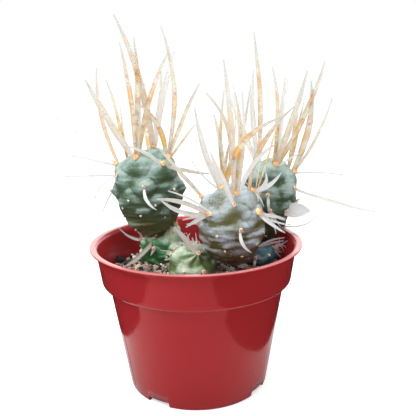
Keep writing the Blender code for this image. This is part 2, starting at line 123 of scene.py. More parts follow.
# A turn that points a piece's own Z along a way
def facing(way):
    return way.to_track_quat("Z", "Y").to_matrix().to_4x4()


def setAttribute(mesh, name, values):
    layer = mesh.attributes.new(name, "FLOAT", "POINT")
    layer.data.foreach_set("value", np.asarray(values, np.float32))


# Camera: as in the photograph, 28 cm in front of the pot's middle and 16 cm up

photoView = {
    "place": (0.1, -283.4, 160.3),
    "turn": 1.295,    # to the right
    "pitch": 13.121,  # down
    "roll": -0.904,
    "lens": 48.43,
    "sensor": 36.0,
}


def makeCamera():
    data = bpy.data.cameras.new("photo_camera")
    data.lens = photoView["lens"]
    data.sensor_width = photoView["sensor"]
    data.clip_start = 0.01
    camera = bpy.data.objects.new("photo_camera", data)
    bpy.context.scene.collection.objects.link(camera)
    turned = Matrix.Rotation(math.radians(-photoView["turn"]), 4, "Z")
    tilted = Matrix.Rotation(math.radians(90.0 - photoView["pitch"]), 4, "X")
    rolled = Matrix.Rotation(math.radians(photoView["roll"]), 4, "Z")
    camera.matrix_world = Matrix.Translation(Vector(photoView["place"]) * mm) @ turned @ tilted @ rolled
    bpy.context.scene.camera = camera


makeCamera()


# Studio: pale floor, even sky, one large soft key from the upper left

studio = {
    "floorSize": 6000.0,
    "floor": "#E4E3E1",
    "floorLift": 0.55,      # the board is lit from behind as well, as seen by the camera
    "sky": "#FFFFFF",
    "skyStrength": 0.72,
    "backdropStrength": 1.0,
    "key": {"place": (-560.0, -380.0, 760.0), "size": 340.0, "watts": 6.6},
    "fill": {"place": (560.0, -300.0, 420.0), "size": 420.0, "watts": 0.5},
    "top": {"place": (60.0, -40.0, 900.0), "size": 500.0, "watts": 6.0},
    "aimHeight": 80.0,
    # two dark flags lie beside the pot, as seen in its gloss only: (x, y) of their inner edges
    "flagShade": "#1A1A1B",
    "leftFlag": ((-116.0, -400.0), (-111.0, -95.0), (-97.0, -52.0), (-80.0, 0.0), (-58.0, 55.0),
                 (-40.0, 400.0)),
    "rightFlag": ((-6.0, -400.0), (35.0, -147.0), (48.0, -78.0), (60.0, -33.0), (68.0, 22.0), (76.0, 400.0)),
    "flagReach": 900.0,
    # and a lit wall stands behind it, which whitens the lip: left, right, foot and top at that distance
    "glow": {"left": -900.0, "right": 900.0, "foot": 120.0, "top": 520.0, "distance": 800.0, "strength": 2.1},
}


def stageGlossOnly(piece):
    piece.visible_camera = False
    piece.visible_diffuse = False
    piece.visible_shadow = False


def makeFlag(name, edge, side, material):
    bm = bmesh.new()
    points = [bm.verts.new((x * mm, y * mm, 1.0 * mm)) for x, y in edge]
    rim = [bm.edges.new(pair) for pair in zip(points, points[1:])]
    wide = bmesh.ops.extrude_edge_only(bm, edges=rim)
    for item in wide["geom"]:
        if isinstance(item, bmesh.types.BMVert):
            item.co.x = side * studio["flagReach"] * mm
    stageGlossOnly(newPiece(bm, name, material))


def makeGlow():
    glow = studio["glow"]
    lit = newMaterial("lit_wall", {
        "Base Color": "#000000", "Emission Color": "#FFFFFF", "Emission Strength": glow["strength"]})[0]
    bm = bmesh.new()
    corners = ((glow["left"], glow["foot"]), (glow["right"], glow["foot"]),
               (glow["right"], glow["top"]), (glow["left"], glow["top"]))
    bm.faces.new([bm.verts.new((x * mm, glow["distance"] * mm, z * mm)) for x, z in corners])
    stageGlossOnly(newPiece(bm, "lit_wall", lit))


def makeStudio():
    scene = bpy.context.scene
    scene.view_settings.view_transform = "Standard"
    bm = bmesh.new()
    bmesh.ops.create_grid(bm, x_segments=1, y_segments=1, size=studio["floorSize"] / 2.0 * mm)
    board, add = newMaterial("white_studio_board", {
        "Base Color": studio["floor"], "Roughness": 0.9, "Specular IOR Level": 0.1,
        "Emission Color": "#FFFFFF"})
    lift = add("Math", multiply, {0: add("LightPath"), 1: studio["floorLift"]})
    newPiece(bm, "studio_floor", plug(board, {"Emission Strength": lift}))
    flagCloth = newMaterial("black_flag_cloth", {
        "Base Color": studio["flagShade"], "Roughness": 1.0, "Specular IOR Level": 0.0})[0]
    makeFlag("left_flag", studio["leftFlag"], -1.0, flagCloth)
    makeFlag("right_flag", studio["rightFlag"], 1.0, flagCloth)
    makeGlow()
    world = bpy.data.worlds.new("soft_sky")
    scene.world = world
    world.use_nodes = True
    tree = world.node_tree
    backdrop = tree.nodes["Background"]
    backdrop.inputs["Color"].default_value = linear(studio["sky"])
    strength = addNode(tree, "MapRange", inputs={
        0: addNode(tree, "LightPath"), 3: studio["skyStrength"], 4: studio["backdropStrength"]})
    tree.links.new(strength, backdrop.inputs["Strength"])
    for name in ("key", "fill", "top"):
        row = studio[name]
        light = bpy.data.lights.new(name + "_softbox", "AREA")
        light.shape = "SQUARE"
        light.size = row["size"] * mm
        light.energy = row["watts"]
        box = bpy.data.objects.new(name + "_softbox", light)
        scene.collection.objects.link(box)
        box.location = Vector(row["place"]) * mm
        aim = Vector((0.0, 0.0, studio["aimHeight"] * mm)) - box.location
        box.rotation_euler = aim.to_track_quat("-Z", "Y").to_euler()


makeStudio()
print("camera and studio made")


# Pot: injection-moulded shell, flat lip, straight band over a tapered body, notched foot

pot = {
    "height": 77.0,
    "wall": 1.1,
    "lipThickness": 0.9,
    "lipRadius": 55.2,
    "bandTop": 52.3,
    "bandFoot": 49.5,
    "bandDepth": 18.5,
    "creaseRadius": 46.2,
    "creaseDrop": 1.4,
    "baseRadius": 36.9,
    "steps": 180,
    "longestFace": 12.0,
    "paintedLipHighlight": (0.4, 0.02),  # the painted highlight along the lip begins and is full this far under the top
    "notches": {"count": 4, "turn": -34.0, "width": 12.8, "height": 2.9, "innerRadius": 32.0,
                "rounding": 0.35},
    "seams": {"turns": (-63.0, 117.0), "width": 0.5, "proud": 0.14, "foot": 3.5, "topGap": 0.8,
              "rounding": 0.1},
    "red": "#922327",
    "redDeep": "#861E22",
    # the paler edge colour is a painted highlight along the lip
    "edge": "#B46E6E",
    "innerRed": "#B9353A",
}


# Polypropylene, injection moulded with a pigment: soft gloss, faint flow marks and hairline
# scratches that run up the wall, and a paler lip that is a painted highlight.
def makePotPlastic():
    material, add = newMaterial("moulded_polypropylene_red", {
        "IOR": 1.43, "Roughness": 0.12, "Specular IOR Level": 0.7, "Specular Tint": "#F07A78"})
    place = add("TexCoord")
    flow = add("TexNoise", inputs={"Vector": place, "Scale": 28.0, "Detail": 3.0})
    reds = add("Mix", asColour, {0: flow, 6: pot["redDeep"], 7: pot["red"]})
    axes = add("SeparateXYZ", inputs={0: place})
    # painted highlight: the top of the lip is mixed towards the paler edge colour
    begin, full = ((pot["height"] - drop) * mm for drop in pot["paintedLipHighlight"])
    lip = add("MapRange", inputs={0: axes, 1: begin, 2: full})
    lipHighlighted = add("Mix", asColour, {0: lip, 6: reds, 7: pot["edge"]})
    # light that came through the plastic makes the inner wall a brighter red
    inner = add("Attribute", {"attribute_name": "inner"})
    walled = add("Mix", asColour, {0: inner, 6: lipHighlighted, 7: pot["innerRed"]})
    # hairlines 0.4 mm apart round the wall and some 15 mm long
    grain = add("Mapping", inputs={0: place, "Scale": (1.0, 1.0, 0.03)})
    hairs = add("TexNoise", inputs={"Vector": grain, "Scale": 1600.0, "Detail": 2.0})
    worn = add("MapRange", inputs={0: hairs, 1: 0.45, 2: 0.8, 3: 0.09, 4: 0.3})
    ripple = add("TexNoise", inputs={"Vector": place, "Scale": 60.0, "Detail": 1.0})
    both = add("Math", multiplyAdd, {0: hairs, 1: 0.12, 2: ripple})
    bump = add("Bump", inputs={"Strength": 0.12, "Distance": 0.25 * mm, "Height": both})
    return plug(material, {"Base Color": walled, "Roughness": worn, "Normal": bump})


potPlastic = makePotPlastic()


def wallRadius(height):
    share = height / (pot["height"] - pot["bandDepth"] - pot["creaseDrop"])
    return pot["baseRadius"] + (pot["creaseRadius"] - pot["baseRadius"]) * share


def isInner(point):
    share = (point.z - pot["height"] + pot["bandDepth"]) / pot["bandDepth"]
    band = pot["bandFoot"] + (pot["bandTop"] - pot["bandFoot"]) * share
    return 0.0 < share < 0.97 and math.hypot(point.x, point.y) < band - 0.5 * pot["wall"]


def makePot():
    wall = pot["wall"]
    top = pot["height"]
    crease = top - pot["bandDepth"] - pot["creaseDrop"]
    # (radius, height, rounding) down the outer side, then up the inner side
    corners = [
        (pot["lipRadius"], top, 0.35),
        (pot["lipRadius"], top - pot["lipThickness"], 0.3),
        (pot["bandTop"], top - pot["lipThickness"], 0.7),
        (pot["bandFoot"], crease, 1.7),
        (pot["creaseRadius"], crease, 0.35),
        (pot["baseRadius"], 0.0, 0.9),
        (0.0, 0.0, 0.0),
        (0.0, wall, 0.0),
        (pot["baseRadius"] - wall, wall, 1.5),
        (pot["creaseRadius"] - wall, crease + wall, 0.5),
        (pot["bandFoot"] - wall, crease + wall, 1.2),
        (pot["bandTop"] - wall, top, 2.0),
    ]
    bm = bmesh.new()
    points = [bm.verts.new((radius * mm, 0.0, height * mm)) for radius, height, rounding in corners]
    bm.faces.new(points)
    for point, (radius, height, rounding) in zip(points, corners):
        if rounding:
            bmesh.ops.bevel(bm, geom=[point], offset=rounding * mm, affect="VERTICES",
                            segments=4, profile=0.5, material=-1)
    bmesh.ops.delete(bm, geom=bm.faces[:], context="FACES_ONLY")
    onAxis = [edge for edge in bm.edges if all(abs(vert.co.x) < 1e-6 for vert in edge.verts)]
    bmesh.ops.delete(bm, geom=onAxis, context="EDGES")
    # the long straight walls get rings, so that no face is a sliver
    walls = [edge for edge in bm.edges if edge.calc_length() > pot["longestFace"] * mm]
    bmesh.ops.subdivide_edges(bm, edges=walls, cuts=7)
    bmesh.ops.spin(bm, geom=bm.verts[:] + bm.edges[:], cent=(0.0, 0.0, 0.0), axis=(0.0, 0.0, 1.0),
                   angle=2.0 * math.pi, steps=pot["steps"], use_merge=True)
    bmesh.ops.remove_doubles(bm, verts=bm.verts, dist=0.001 * mm)
    bmesh.ops.dissolve_degenerate(bm, edges=bm.edges, dist=0.001 * mm)
    bmesh.ops.recalc_face_normals(bm, faces=bm.faces)
    shell = newPiece(bm, "pot_shell", potPlastic, 32.0)

    # drainage notches through the bottom corner
    notch = pot["notches"]
    cutters = []
    for i in range(notch["count"]):
        length = pot["lipRadius"] - notch["innerRadius"]
        turn = math.radians(notch["turn"] + i * 360.0 / notch["count"])
        size = Matrix.Diagonal((notch["width"] * mm, length * mm, 2.0 * notch["height"] * mm, 1.0))
        away = Matrix.Translation((0.0, -(notch["innerRadius"] + length / 2.0) * mm, 0.0))
        bm = bmesh.new()
        bmesh.ops.create_cube(bm, size=1.0, matrix=Matrix.Rotation(turn, 4, "Z") @ away @ size)
        bmesh.ops.bevel(bm, geom=bm.edges[:], offset=notch["rounding"] * mm, affect="EDGES",
                        segments=2, profile=0.5, material=-1)
        cutter = newPiece(bm, "notch_cutter", potPlastic)
        cut = shell.modifiers.new("notch", "BOOLEAN")
        cut.object = cutter
        cut.operation = "DIFFERENCE"
        cutters.append(cutter)
    bpy.context.view_layer.update()
    cutMesh = bpy.data.meshes.new_from_object(shell.evaluated_get(bpy.context.evaluated_depsgraph_get()))
    shell.modifiers.clear()
    shell.data = cutMesh
    for cutter in cutters:
        bpy.data.objects.remove(cutter)
    setAttribute(cutMesh, "inner", [float(isInner(vert.co / mm)) for vert in cutMesh.vertices])
    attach(shell, "root")
    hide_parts("pot")

    # the mould's parting lines: a hair of plastic up the body on two sides
    seams = pot["seams"]
    taper = math.atan2(pot["creaseRadius"] - pot["baseRadius"], crease)
    bm = bmesh.new()
    for turn in seams["turns"]:
        height = crease - seams["topGap"] - seams["foot"]
        middle = seams["foot"] + height / 2.0
        size = Matrix.Diagonal((seams["width"] * mm, 2.0 * seams["proud"] * mm, height * mm, 1.0))
        leaned = Matrix.Rotation(taper, 4, "X")
        away = Matrix.Translation((0.0, -wallRadius(middle) * mm, middle * mm))
        bmesh.ops.create_cube(bm, size=1.0,
                              matrix=Matrix.Rotation(math.radians(turn), 4, "Z") @ away @ leaned @ size)
    bmesh.ops.bevel(bm, geom=bm.edges[:], offset=seams["rounding"] * mm, affect="EDGES",
                    segments=2, profile=0.5, material=-1)
    seam = newPiece(bm, "pot_mould_seams", potPlastic)
    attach(seam, "root")


makePot()
print("pot made")


# Joints: the same forms as in the solids, with creases, bloom and true papery spines

# Places on a joint are (azimuth from the front to the right, height angle). tubercle is how far its
# lumps stand out, band how deep its level shrinkage folds are, and relief how strongly the lumps show,
# as (at its middle, more towards the crown, least, most). peaks are single bumps as (place, height,
# spread), pleats (place, number, depth, spread), and waxing is bloom that is thicker or, below zero,
# worn away, as (place, spread, amount); on the lower left joint's peak it is painted light.
lowRelief = (0.62, 0.9, 0.22, 1.0)
joints = {
    "left_lower": {
        "centre": (-19.2, 20.0, 66.0), "halfWidth": 12.6, "halfHeight": 12.3, "taper": 0.0, "lean": 0.0,
        "tubercle": 1.1, "relief": lowRelief, "band": 0.75, "seed": 11, "slot": "skin_green",
        "peaks": (((54, 54), 6.5, 16.0),),
        # the strong waxing at (50, 34) is painted light that keeps the peak's face pale where the upper joint
        # shades it
        "waxing": (((-70, 5), 13, 1.6), ((50, 34), 22, 2.4), ((-10, 30), 26, -0.4))},
    "left_upper": {
        "centre": (-25.0, 18.0, 100.0), "halfWidth": 18.2, "halfHeight": 25.2, "taper": 0.04, "lean": -5.0,
        "tubercle": 2.5, "relief": (0.5, 0.9, 0.3, 1.0), "band": 0.95, "seed": 12, "slot": "skin_grey_green",
        "peaks": (((88, -1), 1.4, 8.0), ((-84, 4), 1.2, 8.0), ((-60, -15), 1.0, 7.0), ((-1, 16), 0.8, 12.0)),
        "waxing": (((-20, 22), 13, -0.8), ((36, 21), 14, -0.9), ((-60, 25), 14, 0.2), ((0, 14), 10, 0.2),
                   ((-3, -4), 10, -0.4), ((46, 13), 9, -0.5), ((60, 4), 10, 0.5), ((-45, 8), 12, -0.5),
                   ((-10, -20), 14, 0.4), ((30, -10), 12, 0.3))},
    "centre_lower": {
        "centre": (-2.0, -6.0, 63.8), "halfWidth": 12.8, "halfHeight": 13.3, "taper": 0.0, "lean": 0.0,
        "tubercle": 0.8, "relief": lowRelief, "band": 0.35, "seed": 13, "slot": "skin_mint",
        "peaks": (((-66, 36), 1.4, 15.0), ((16, 46), 1.2, 10.0)),
        "pleats": (((16, 46), 6, 1.3, 36.0),),
        "waxing": (((-60, 20), 20, -0.2), ((40, 10), 24, -0.8), ((5, 25), 12, -0.3))},
    "centre_upper": {
        "centre": (18.0, -10.0, 87.5), "halfWidth": 17.0, "halfHeight": 21.0, "taper": 0.04, "lean": -2.0,
        "tubercle": 2.6, "relief": (0.1, 1.15, 0.1, 1.0), "band": 0.8, "seed": 14, "slot": "skin_olive",
        "waxing": (((0, 21), 13, -1.2), ((41, 36), 10, -0.5), ((-27, -10), 11, 0.5), ((44, 22), 9, 0.4),
                   ((-30, 45), 12, -0.3), ((-29, 10), 12, -0.4), ((30, -10), 14, 0.5), ((-60, -12), 16, 0.6),
                   ((-10, -14), 14, 0.4), ((-25, -38), 18, 0.4))},
    "right_lower": {
        "centre": (31.8, 10.5, 61.5), "halfWidth": 12.8, "halfHeight": 11.2, "taper": 0.08, "lean": 0.0,
        "tubercle": 1.3, "relief": lowRelief, "band": 0.6, "seed": 15, "slot": "skin_blue_green"},
    "right_upper": {
        "centre": (39.8, 16.2, 93.5), "halfWidth": 14.1, "halfHeight": 24.0, "taper": 0.28, "lean": 6.0,
        "tubercle": 2.2, "relief": (0.5, 0.9, 0.25, 1.0), "band": 0.95, "seed": 16, "slot": "skin_dark_green",
        "waxing": (((-20, 36), 14, -0.5), ((14, 40), 9, -0.4), ((20, 2), 12, -0.3), ((45, 22), 16, 0.9))},
}

# Areoles in view: the place, then each spine's length, lean to the right, lean to the back, sideways
# bow, width, and if it isn't white, how golden it is.
areoles = {
    "left_lower": (
        ((-84, 30), ((15, -60, 2, -1.6, 0.8), (10, -68, 6, -0.8, 0.8), (6, -30, -4, 0.6, 0.8))),
        ((-23, 46), ((23.5, -128, -20, -3.0, 2.0, 0.2),)),
        ((-17, 19), ((4, -145, -25, 0, 1.2),)),
        ((33, 48), ((13, 2, 8, -0.6, 0.9),)),
        ((50, 57), ((3.5, 20, -8, 0, 1.0, 0.3),)),
    ),
    "left_upper": (
        ((-16, 52), ((59, -6, 4, 2, 2.2, 0.9), (46, -28, -9, -0.8, 3.2, 0.35),
                     (62, 0, 9, 2, 2.6, 0.7), (57, 17, 12, -1.3, 2.2, 0.8))),
        ((54, 69), ((70, -14, -3, 3, 3.0, 0.7), (52, 13, 11, -1.2, 3.0, 0.15))),
        ((66, 45), ((67, -1, 2, 4, 2.2, 0.8), (32, -24.3, -8, 2.6, 2.4, 1.0),
                    (42, 24, 5, -1, 1.8, 0.6), (22, 38, 0, 0, 1.2, 0.4))),
        ((-86, 40), ((52, -10.6, 4, -2.3, 1.8, 0.6), (42, -52, 8, 0, 0.9), (24, -75, -8, 0, 0.9))),
        ((-55, 28), ((29, -90, 0, 0, 0.9, 0.08), (23, -148, -8, 3, 0.9))),
        ((-82, 7), ((17, -156, 0, 0, 0.9),)),
        ((38, 37), ((21.5, -57, -17, 0.3, 1.5), (25, 103, 8, 2.0, 1.6, 0.25))),
        ((-1, 15), ((14, 151, -24, 2.2, 1.5),)),
        ((47, 5), ()),
        ((-31, -1), ()),
        ((12, -9), ()),
        ((-15, -21), ()),
        ((29, -28), ()),
        ((-51, -12), ()),
        ((88, -1), ()),
    ),
    "centre_lower": (
        ((16, 46), ((19, -36, -8, 0, 2.4, 0.15), (9, -20, 4, 0, 0.9))),
        ((-66, 36), ((4.5, -112, -16, -1.0, 0.8),)),
        ((24, 8), ((6, -92, -30, 0, 0.9),)),
        ((-25, 72), ((6, -62, -10, 1.5, 1.0), (8, 8, -6, -1, 1.0, 0.05), (7, 52, -14, 1.6, 1.1),
                     (5, 95, -20, 1, 1.0), (5, 150, -30, 0.5, 0.9))),
    ),
    "centre_upper": (
        ((-90, 43), ((34, -40, 0, 0, 1.8, 0.35),)),
        ((3, 38), ((29, -23, -8, 0, 2.2, 0.1),)),
        ((-34, 68), ((45, 33.9, -20, -5.8, 2.7, 0.85), (46.5, -9.2, 2, 7.5, 2.0, 0.7),
                     (41.5, -16.6, -3, -1.7, 2.6, 0.12), (18, -15, -8, -0.5, 2.2, 0.05),
                     (19.5, -42, -6, -1.2, 0.8, 0.05), (24, 6.5, 0, -0.8, 1.5, 1.0))),
        ((12, 54), ((48.6, 0.5, 5, 2.4, 2.2, 1.0), (48.6, 3.4, 3, 1.6, 1.6, 0.2),
                    (64, -3.7, 5, 0.8, 2.6, 0.3), (30, 35, -4, -2.6, 2.0, 0.05))),
        ((66, 53), ((46.5, 27, -4, -5, 2.2, 0.8), (14, 30, -12, 4.2, 1.8, 0.05), (18, 53, -14, 2, 1.7),
                    (9, 144, -10, 0, 0.9), (7, 172, -12, -0.6, 0.8))),
        ((-42, 25), ((27, -72, 0, 2, 2.0, 0.25), (27, -69, -12, -3, 2.0, 0.15), (12, -118, -4, 0, 1.4),
                     (25, -59, -6, 1.5, 0.9), (13, -99, -4, 0, 1.0))),
        ((48, 23), ((15, 100, -8, 0, 1.4, 0.21), (16, 125, -16, 1, 1.4), (18, 108, -10, 1.5, 0.8),
                   (13, 141, -12, -1.0, 0.8))),
        ((11, 5), ((12, 154, -20, 2.0, 1.4),)),
        ((-69, 11), ((7, -95, -6, 0, 0.9),)),
        ((-27, -3), ()),
        ((-17, -25), ()),
        ((16, -36), ()),
        ((61, -6), ()),
        ((44, -20), ()),
        ((83, 11), ()),
    ),
    "right_lower": (
        ((-3, 26), ((4.5, 82, -25, 0, 0.8), (4.6, -174, -24, 0, 1.4))),
        ((10, 60), ((15.5, 70, -2, -0.5, 0.9), (14, 74, -6, 0.4, 0.9))),
        ((67, 43), ((10, 64, -5, 0.3, 0.8), (6, 112, -6, -2.6, 0.8), (5.5, 145, -6, 1, 0.8),
                   (8.5, 36, -6, 2.6, 0.8), (7.5, 84, -4, -2.2, 0.7))),
        ((85, 30), ((5, 50, -8, -1, 0.9), (3.5, 96, -30, 0.4, 0.8))),
        ((-32, 26), ()),
    ),
    "right_upper": (
        ((-88, 64), ((22, -20, -6, 0, 0.8, 0.1), (68, -2, 6, 1.8, 2.4, 0.75),
                     (48, -2.7, 2, -1.6, 2.2, 0.15))),
        ((3, 61), ((51, 0.5, 9, 2.4, 2.0, 0.85), (46, 8, 9, 0.7, 2.6, 0.15), (51, 17.7, -1, 0.7, 2.8, 0.35),
                   (59, 25, 4, 2.5, 2.4, 0.95), (13.5, 60, 0, 0, 0.8))),
        ((67, 47), ((49, 10.6, 0, 2.9, 3.2, 0.9), (44, 28, 5, 2, 1.4, 0.3), (27, 94, 6, 0, 0.9))),
        ((48, 25), ((47, 107, 0, 2, 1.4, 0.1),)),
        ((-10, 15), ((9, 178, -18, 0, 1.4),)),
        ((36, -5), ((13.5, 90, -6, -0.5, 7.0),)),
        ((-60, 40), ((6.8, 184, -8, 2.4, 1.1, 0.25),)),
        ((76, 5), ((4, 65, 0, 0, 0.9, 0.1),)),
        ((80, -33), ((24, 61, -4, 3.6, 0.8),)),
        ((-3, -4), ((10.5, 121, -10, 0.4, 1.2), (8, 165, -12, 0.5, 1.3), (11, 147, -14, 0, 0.8))),
    ),
}

skin = {
    "fineness": 7,  # icosphere subdivisions
    "spread": 14.5,        # angle over which a tubercle falls away
    "middle": 0.4,
    "plainLump": 2.2,
    "fillCount": 30,
    "fillDistance": 29.0,
    "goldenAngle": 137.5,
    "soilTop": 59.9,
    # A tubercle is a broad shelf. Near the crown it is tall and wide and has its areole at its upper
    # edge, near the foot it is small and has it at its lower edge. Each as (at the joint's middle, more
    # per degree further up, least, most).
    "lumpWide": (22.0, 0.25, 16.0, 32.0),
    "lumpTall": (10.0, 0.22, 6.5, 18.0),
    "lumpShift": (-2.0, 0.2, -4.5, 7.0),
    "lumpVariation": 0.12,
    "lumpEdge": 3.4,       # how sharply one lump meets the next
    "lumpFloor": -0.1,
    "lumpReach": 60.0,     # a lump counts this far from its areole, and nothing is lower than lumpLowest
    "lumpLowest": -2.0,
    "lumpMiddle": 0.45,
    "sway": (3.5, 2.5),    # how far the outlines of the lumps wander, level and upright
    "hollow": (11.0, 11.0, 7.0),  # painted shade under an areole: its width, drop and height in degrees
    "hollowReach": 40.0,
    "noseHeight": 0.45,
    "noseSpread": 5.0,
    "crownDip": 1.2,       # the growing point lies a little sunk
    "crownDipSpread": 22.0,
    "creaseWidth": 0.22,
    "creaseStep": 16.0,    # a full crease lies between lumps this far apart in height
    "pleatStart": 9.0,
    "waxRise": 0.3,
    # level bands, as the plant shrinks between waterings: per metre across and up, and their finer copy
    "bandScales": ((62.0, 300.0), (150.0, 640.0)),
    "bandFine": 0.45,
    "bandLevel": 1.25,     # bands are as strong as the relief falls short of this
    "bandCrease": (2.2, 0.35),
    "bandRise": 0.5,
    "wrinkleScales": ((170.0, 430.0), (500.0, 900.0)),
    "wrinkleFine": 0.5,
    "wrinkle": 0.2,
    "footSlack": 1.2,
    "uprightMiddle": (0.4, 0.64),
    "seatGap": 0.3,
    "seatSteps": 14,
}


def direction(azimuth, latitude):
    turn = math.radians(azimuth)
    rise = math.radians(latitude)
    return Vector((math.sin(turn) * math.cos(rise), -math.cos(turn) * math.cos(rise), math.sin(rise)))


def jointMatrix(name):
    lean = Matrix.Rotation(math.radians(joints[name]["lean"]), 4, "Y")
    return Matrix.Translation(Vector(joints[name]["centre"]) * mm) @ lean


# Areoles in view, then the rest on a spiral wherever there is room for one
def areoleWays(name):
    spec = joints[name]
    shown = [direction(*place) for place, rows in areoles[name]]
    kept = list(shown)
    for i in range(skin["fillCount"]):
        latitude = math.degrees(math.asin(1.0 - 2.0 * (i + 0.5) / skin["fillCount"]))
        candidate = direction(i * skin["goldenAngle"] + 10.0 * spec["seed"], latitude)
        if spec["centre"][2] + spec["halfHeight"] * candidate.z < skin["soilTop"] + 1.0:
            continue
        if all(math.degrees(candidate.angle(other)) > skin["fillDistance"] for other in kept):
            kept.append(candidate)
    return shown, kept[len(shown):]


def graded(setting, values):
    start, slope, least, most = skin[setting]
    return np.clip(start + slope * values, least, most)


# How strongly the lumps show at each height of a joint
def reliefOf(name, ways):
    start, slope, least, most = joints[name]["relief"]
    return np.clip(start + slope * ways[:, 2], least, most)


def angleTo(ways, tips):
    return np.degrees(np.arccos(np.clip(ways @ np.array(tips).T, -1.0, 1.0)))


def angleAlong(ways, axes):
    return np.degrees(np.arcsin(np.clip(ways @ np.array(axes).T, -1.0, 1.0)))


def bell(distance):
    return np.exp(-(distance ** 2))


def unit(ways, least=1e-9):
    return ways / np.maximum(np.linalg.norm(ways, axis=1)[:, None], least)


# An egg's half widths at its ways: wider towards the crown
def eggHalf(spec, ways):
    egg = 1.0 + spec["taper"] * ways[:, 2:3]
    half = np.array((spec["halfWidth"], spec["halfWidth"], spec["halfHeight"]))
    return half * np.hstack((egg, egg, np.ones_like(egg)))


# Skin of a joint in many directions at once, in the joint's own axes, how far out each point stands
# on its lump, from 0 in a crease to 1, how near it lies below an areole, and how near to a level
# crease, which the skin paints as light and shade. Without detail it is close to the solid's skin.
def skinPoints(name, ways, detail=True):
    spec = joints[name]
    shown, hidden = areoleWays(name)
    tips = np.array(shown + hidden)
    angles = angleTo(ways, tips)
    near = angles.min(axis=1)
    points = ways * eggHalf(spec, ways)
    outward = unit(ways / np.array((spec["halfWidth"], spec["halfWidth"], spec["halfHeight"])))
    if not detail:
        rise = bell(near / skin["spread"])
        plain = skin["plainLump"] * (rise - skin["middle"])
        return (points + outward * plain[:, None]) * mm, rise, rise, rise
    east = unit(np.cross(upAxis, tips), 1e-6)
    across = angleAlong(ways, east)
    upward = angleAlong(ways, np.cross(tips, east))
    tipLevel = angleAlong(tips, upAxis)
    level = angleAlong(ways, upAxis)
    phase = spec["seed"]
    vary = random.Random(500 + phase)
    size = np.array([1.0 + skin["lumpVariation"] * vary.uniform(-1.0, 1.0) for tip in tips])
    # the outlines of the lumps wander by two slow waves each way
    x, y, z = ways.T
    swayAcross = np.sin(5.0 * z + 2.1 * x + phase) + 0.6 * np.sin(9.0 * x - 6.0 * y + 2.0 * phase)
    swayUp = np.sin(6.0 * x + 4.0 * y + phase) + 0.6 * np.sin(11.0 * x - 5.0 * z + 3.0 * phase)
    wide = (across + skin["sway"][0] * swayAcross[:, None]) / (graded("lumpWide", tipLevel) * size)
    tall = upward + skin["sway"][1] * swayUp[:, None] + graded("lumpShift", tipLevel)
    tall = tall / (graded("lumpTall", tipLevel) * size)
    lowest = skin["lumpLowest"]
    lumps = np.where(angles < skin["lumpReach"], np.maximum(1.0 - wide ** 2 - tall ** 2, lowest), lowest)
    sharp = skin["lumpEdge"]
    floor = skin["lumpFloor"]
    full = np.log(np.exp(sharp * lumps).sum(axis=1) + math.exp(sharp * floor)) / sharp
    rise = np.clip((full - floor) / (1.0 - floor), 0.0, 1.0)
    hollowWide, hollowDrop, hollowTall = skin["hollow"]
    shadeUnderAreoles = bell(across / hollowWide) * bell((upward + hollowDrop) / hollowTall)
    under = (shadeUnderAreoles * (angles < skin["hollowReach"])).max(axis=1)
    # painted shade: dark lines where the foot of one lump meets the top of the next
    order = np.argsort(lumps, axis=1)[:, -2:]
    second, first = np.take_along_axis(lumps, order, axis=1).T
    step = np.abs(tipLevel[order[:, 1]] - tipLevel[order[:, 0]])
    crease = bell((first - second) / skin["creaseWidth"]) * np.clip(step / skin["creaseStep"], 0.1, 1.0)
    crease *= np.clip((second - floor) / 0.2 + 1.0, 0.0, 1.0)
    fade = reliefOf(name, ways)
    crease *= np.clip(0.2 + fade, 0.0, 1.0)
    lift = spec["tubercle"] * (full - skin["lumpMiddle"]) * fade
    lift += skin["noseHeight"] * bell(near / skin["noseSpread"]) * fade
    lift -= skin["crownDip"] * bell((90.0 - level) / skin["crownDipSpread"])
    for spot, high, spread in spec.get("peaks", ()):
        lift += high * bell(angleTo(ways, direction(*spot)) / spread)
    # pleats run out from an areole like the folds of a drawn bag
    for spot, count, deep, reach in spec.get("pleats", ()):
        tip = np.array(direction(*spot))
        aside = np.cross(upAxis, tip)
        aside /= np.linalg.norm(aside)
        turn = np.arctan2(ways @ np.cross(tip, aside), ways @ aside)
        away = angleTo(ways, tip)
        begun = np.clip(away / skin["pleatStart"], 0.0, 1.0)
        fading = bell(away / reach)
        valley = (0.5 + 0.5 * np.cos(count * turn + 0.7 * np.sin(2.0 * turn))) ** 1.6
        lift -= deep * valley * begun * fading
        # painted shade: the pleat valleys are given a lower rise and a crease, so the skin darkens there
        rise = rise * (1.0 - 0.8 * valley * fading)
        crease = np.maximum(crease, valley ** 3 * begun * fading)
    return (points + outward * lift[:, None]) * mm, rise, under, crease


def onSkin(name, way, lift=0.0):
    spec = joints[name]
    points = skinPoints(name, np.array([way]))[0]
    outward = Vector((way.x / spec["halfWidth"], way.y / spec["halfWidth"], way.z / spec["halfHeight"]))
    return jointMatrix(name) @ (Vector(points[0]) + outward.normalized() * lift * mm)


# Whether points lie inside a joint that is grown by a margin
def insideJoint(name, points, margin):
    spec = joints[name]
    back = np.array(jointMatrix(name).inverted())
    local = points @ back[:3, :3].T + back[:3, 3]
    ways = unit(local / (eggHalf(spec, np.zeros((1, 3))) * mm))
    for _ in range(2):
        ways = unit(local / (eggHalf(spec, ways) * mm))
    surface = skinPoints(name, ways, detail=False)[0]
    return np.linalg.norm(local, axis=1) < np.linalg.norm(surface, axis=1) + margin * mm
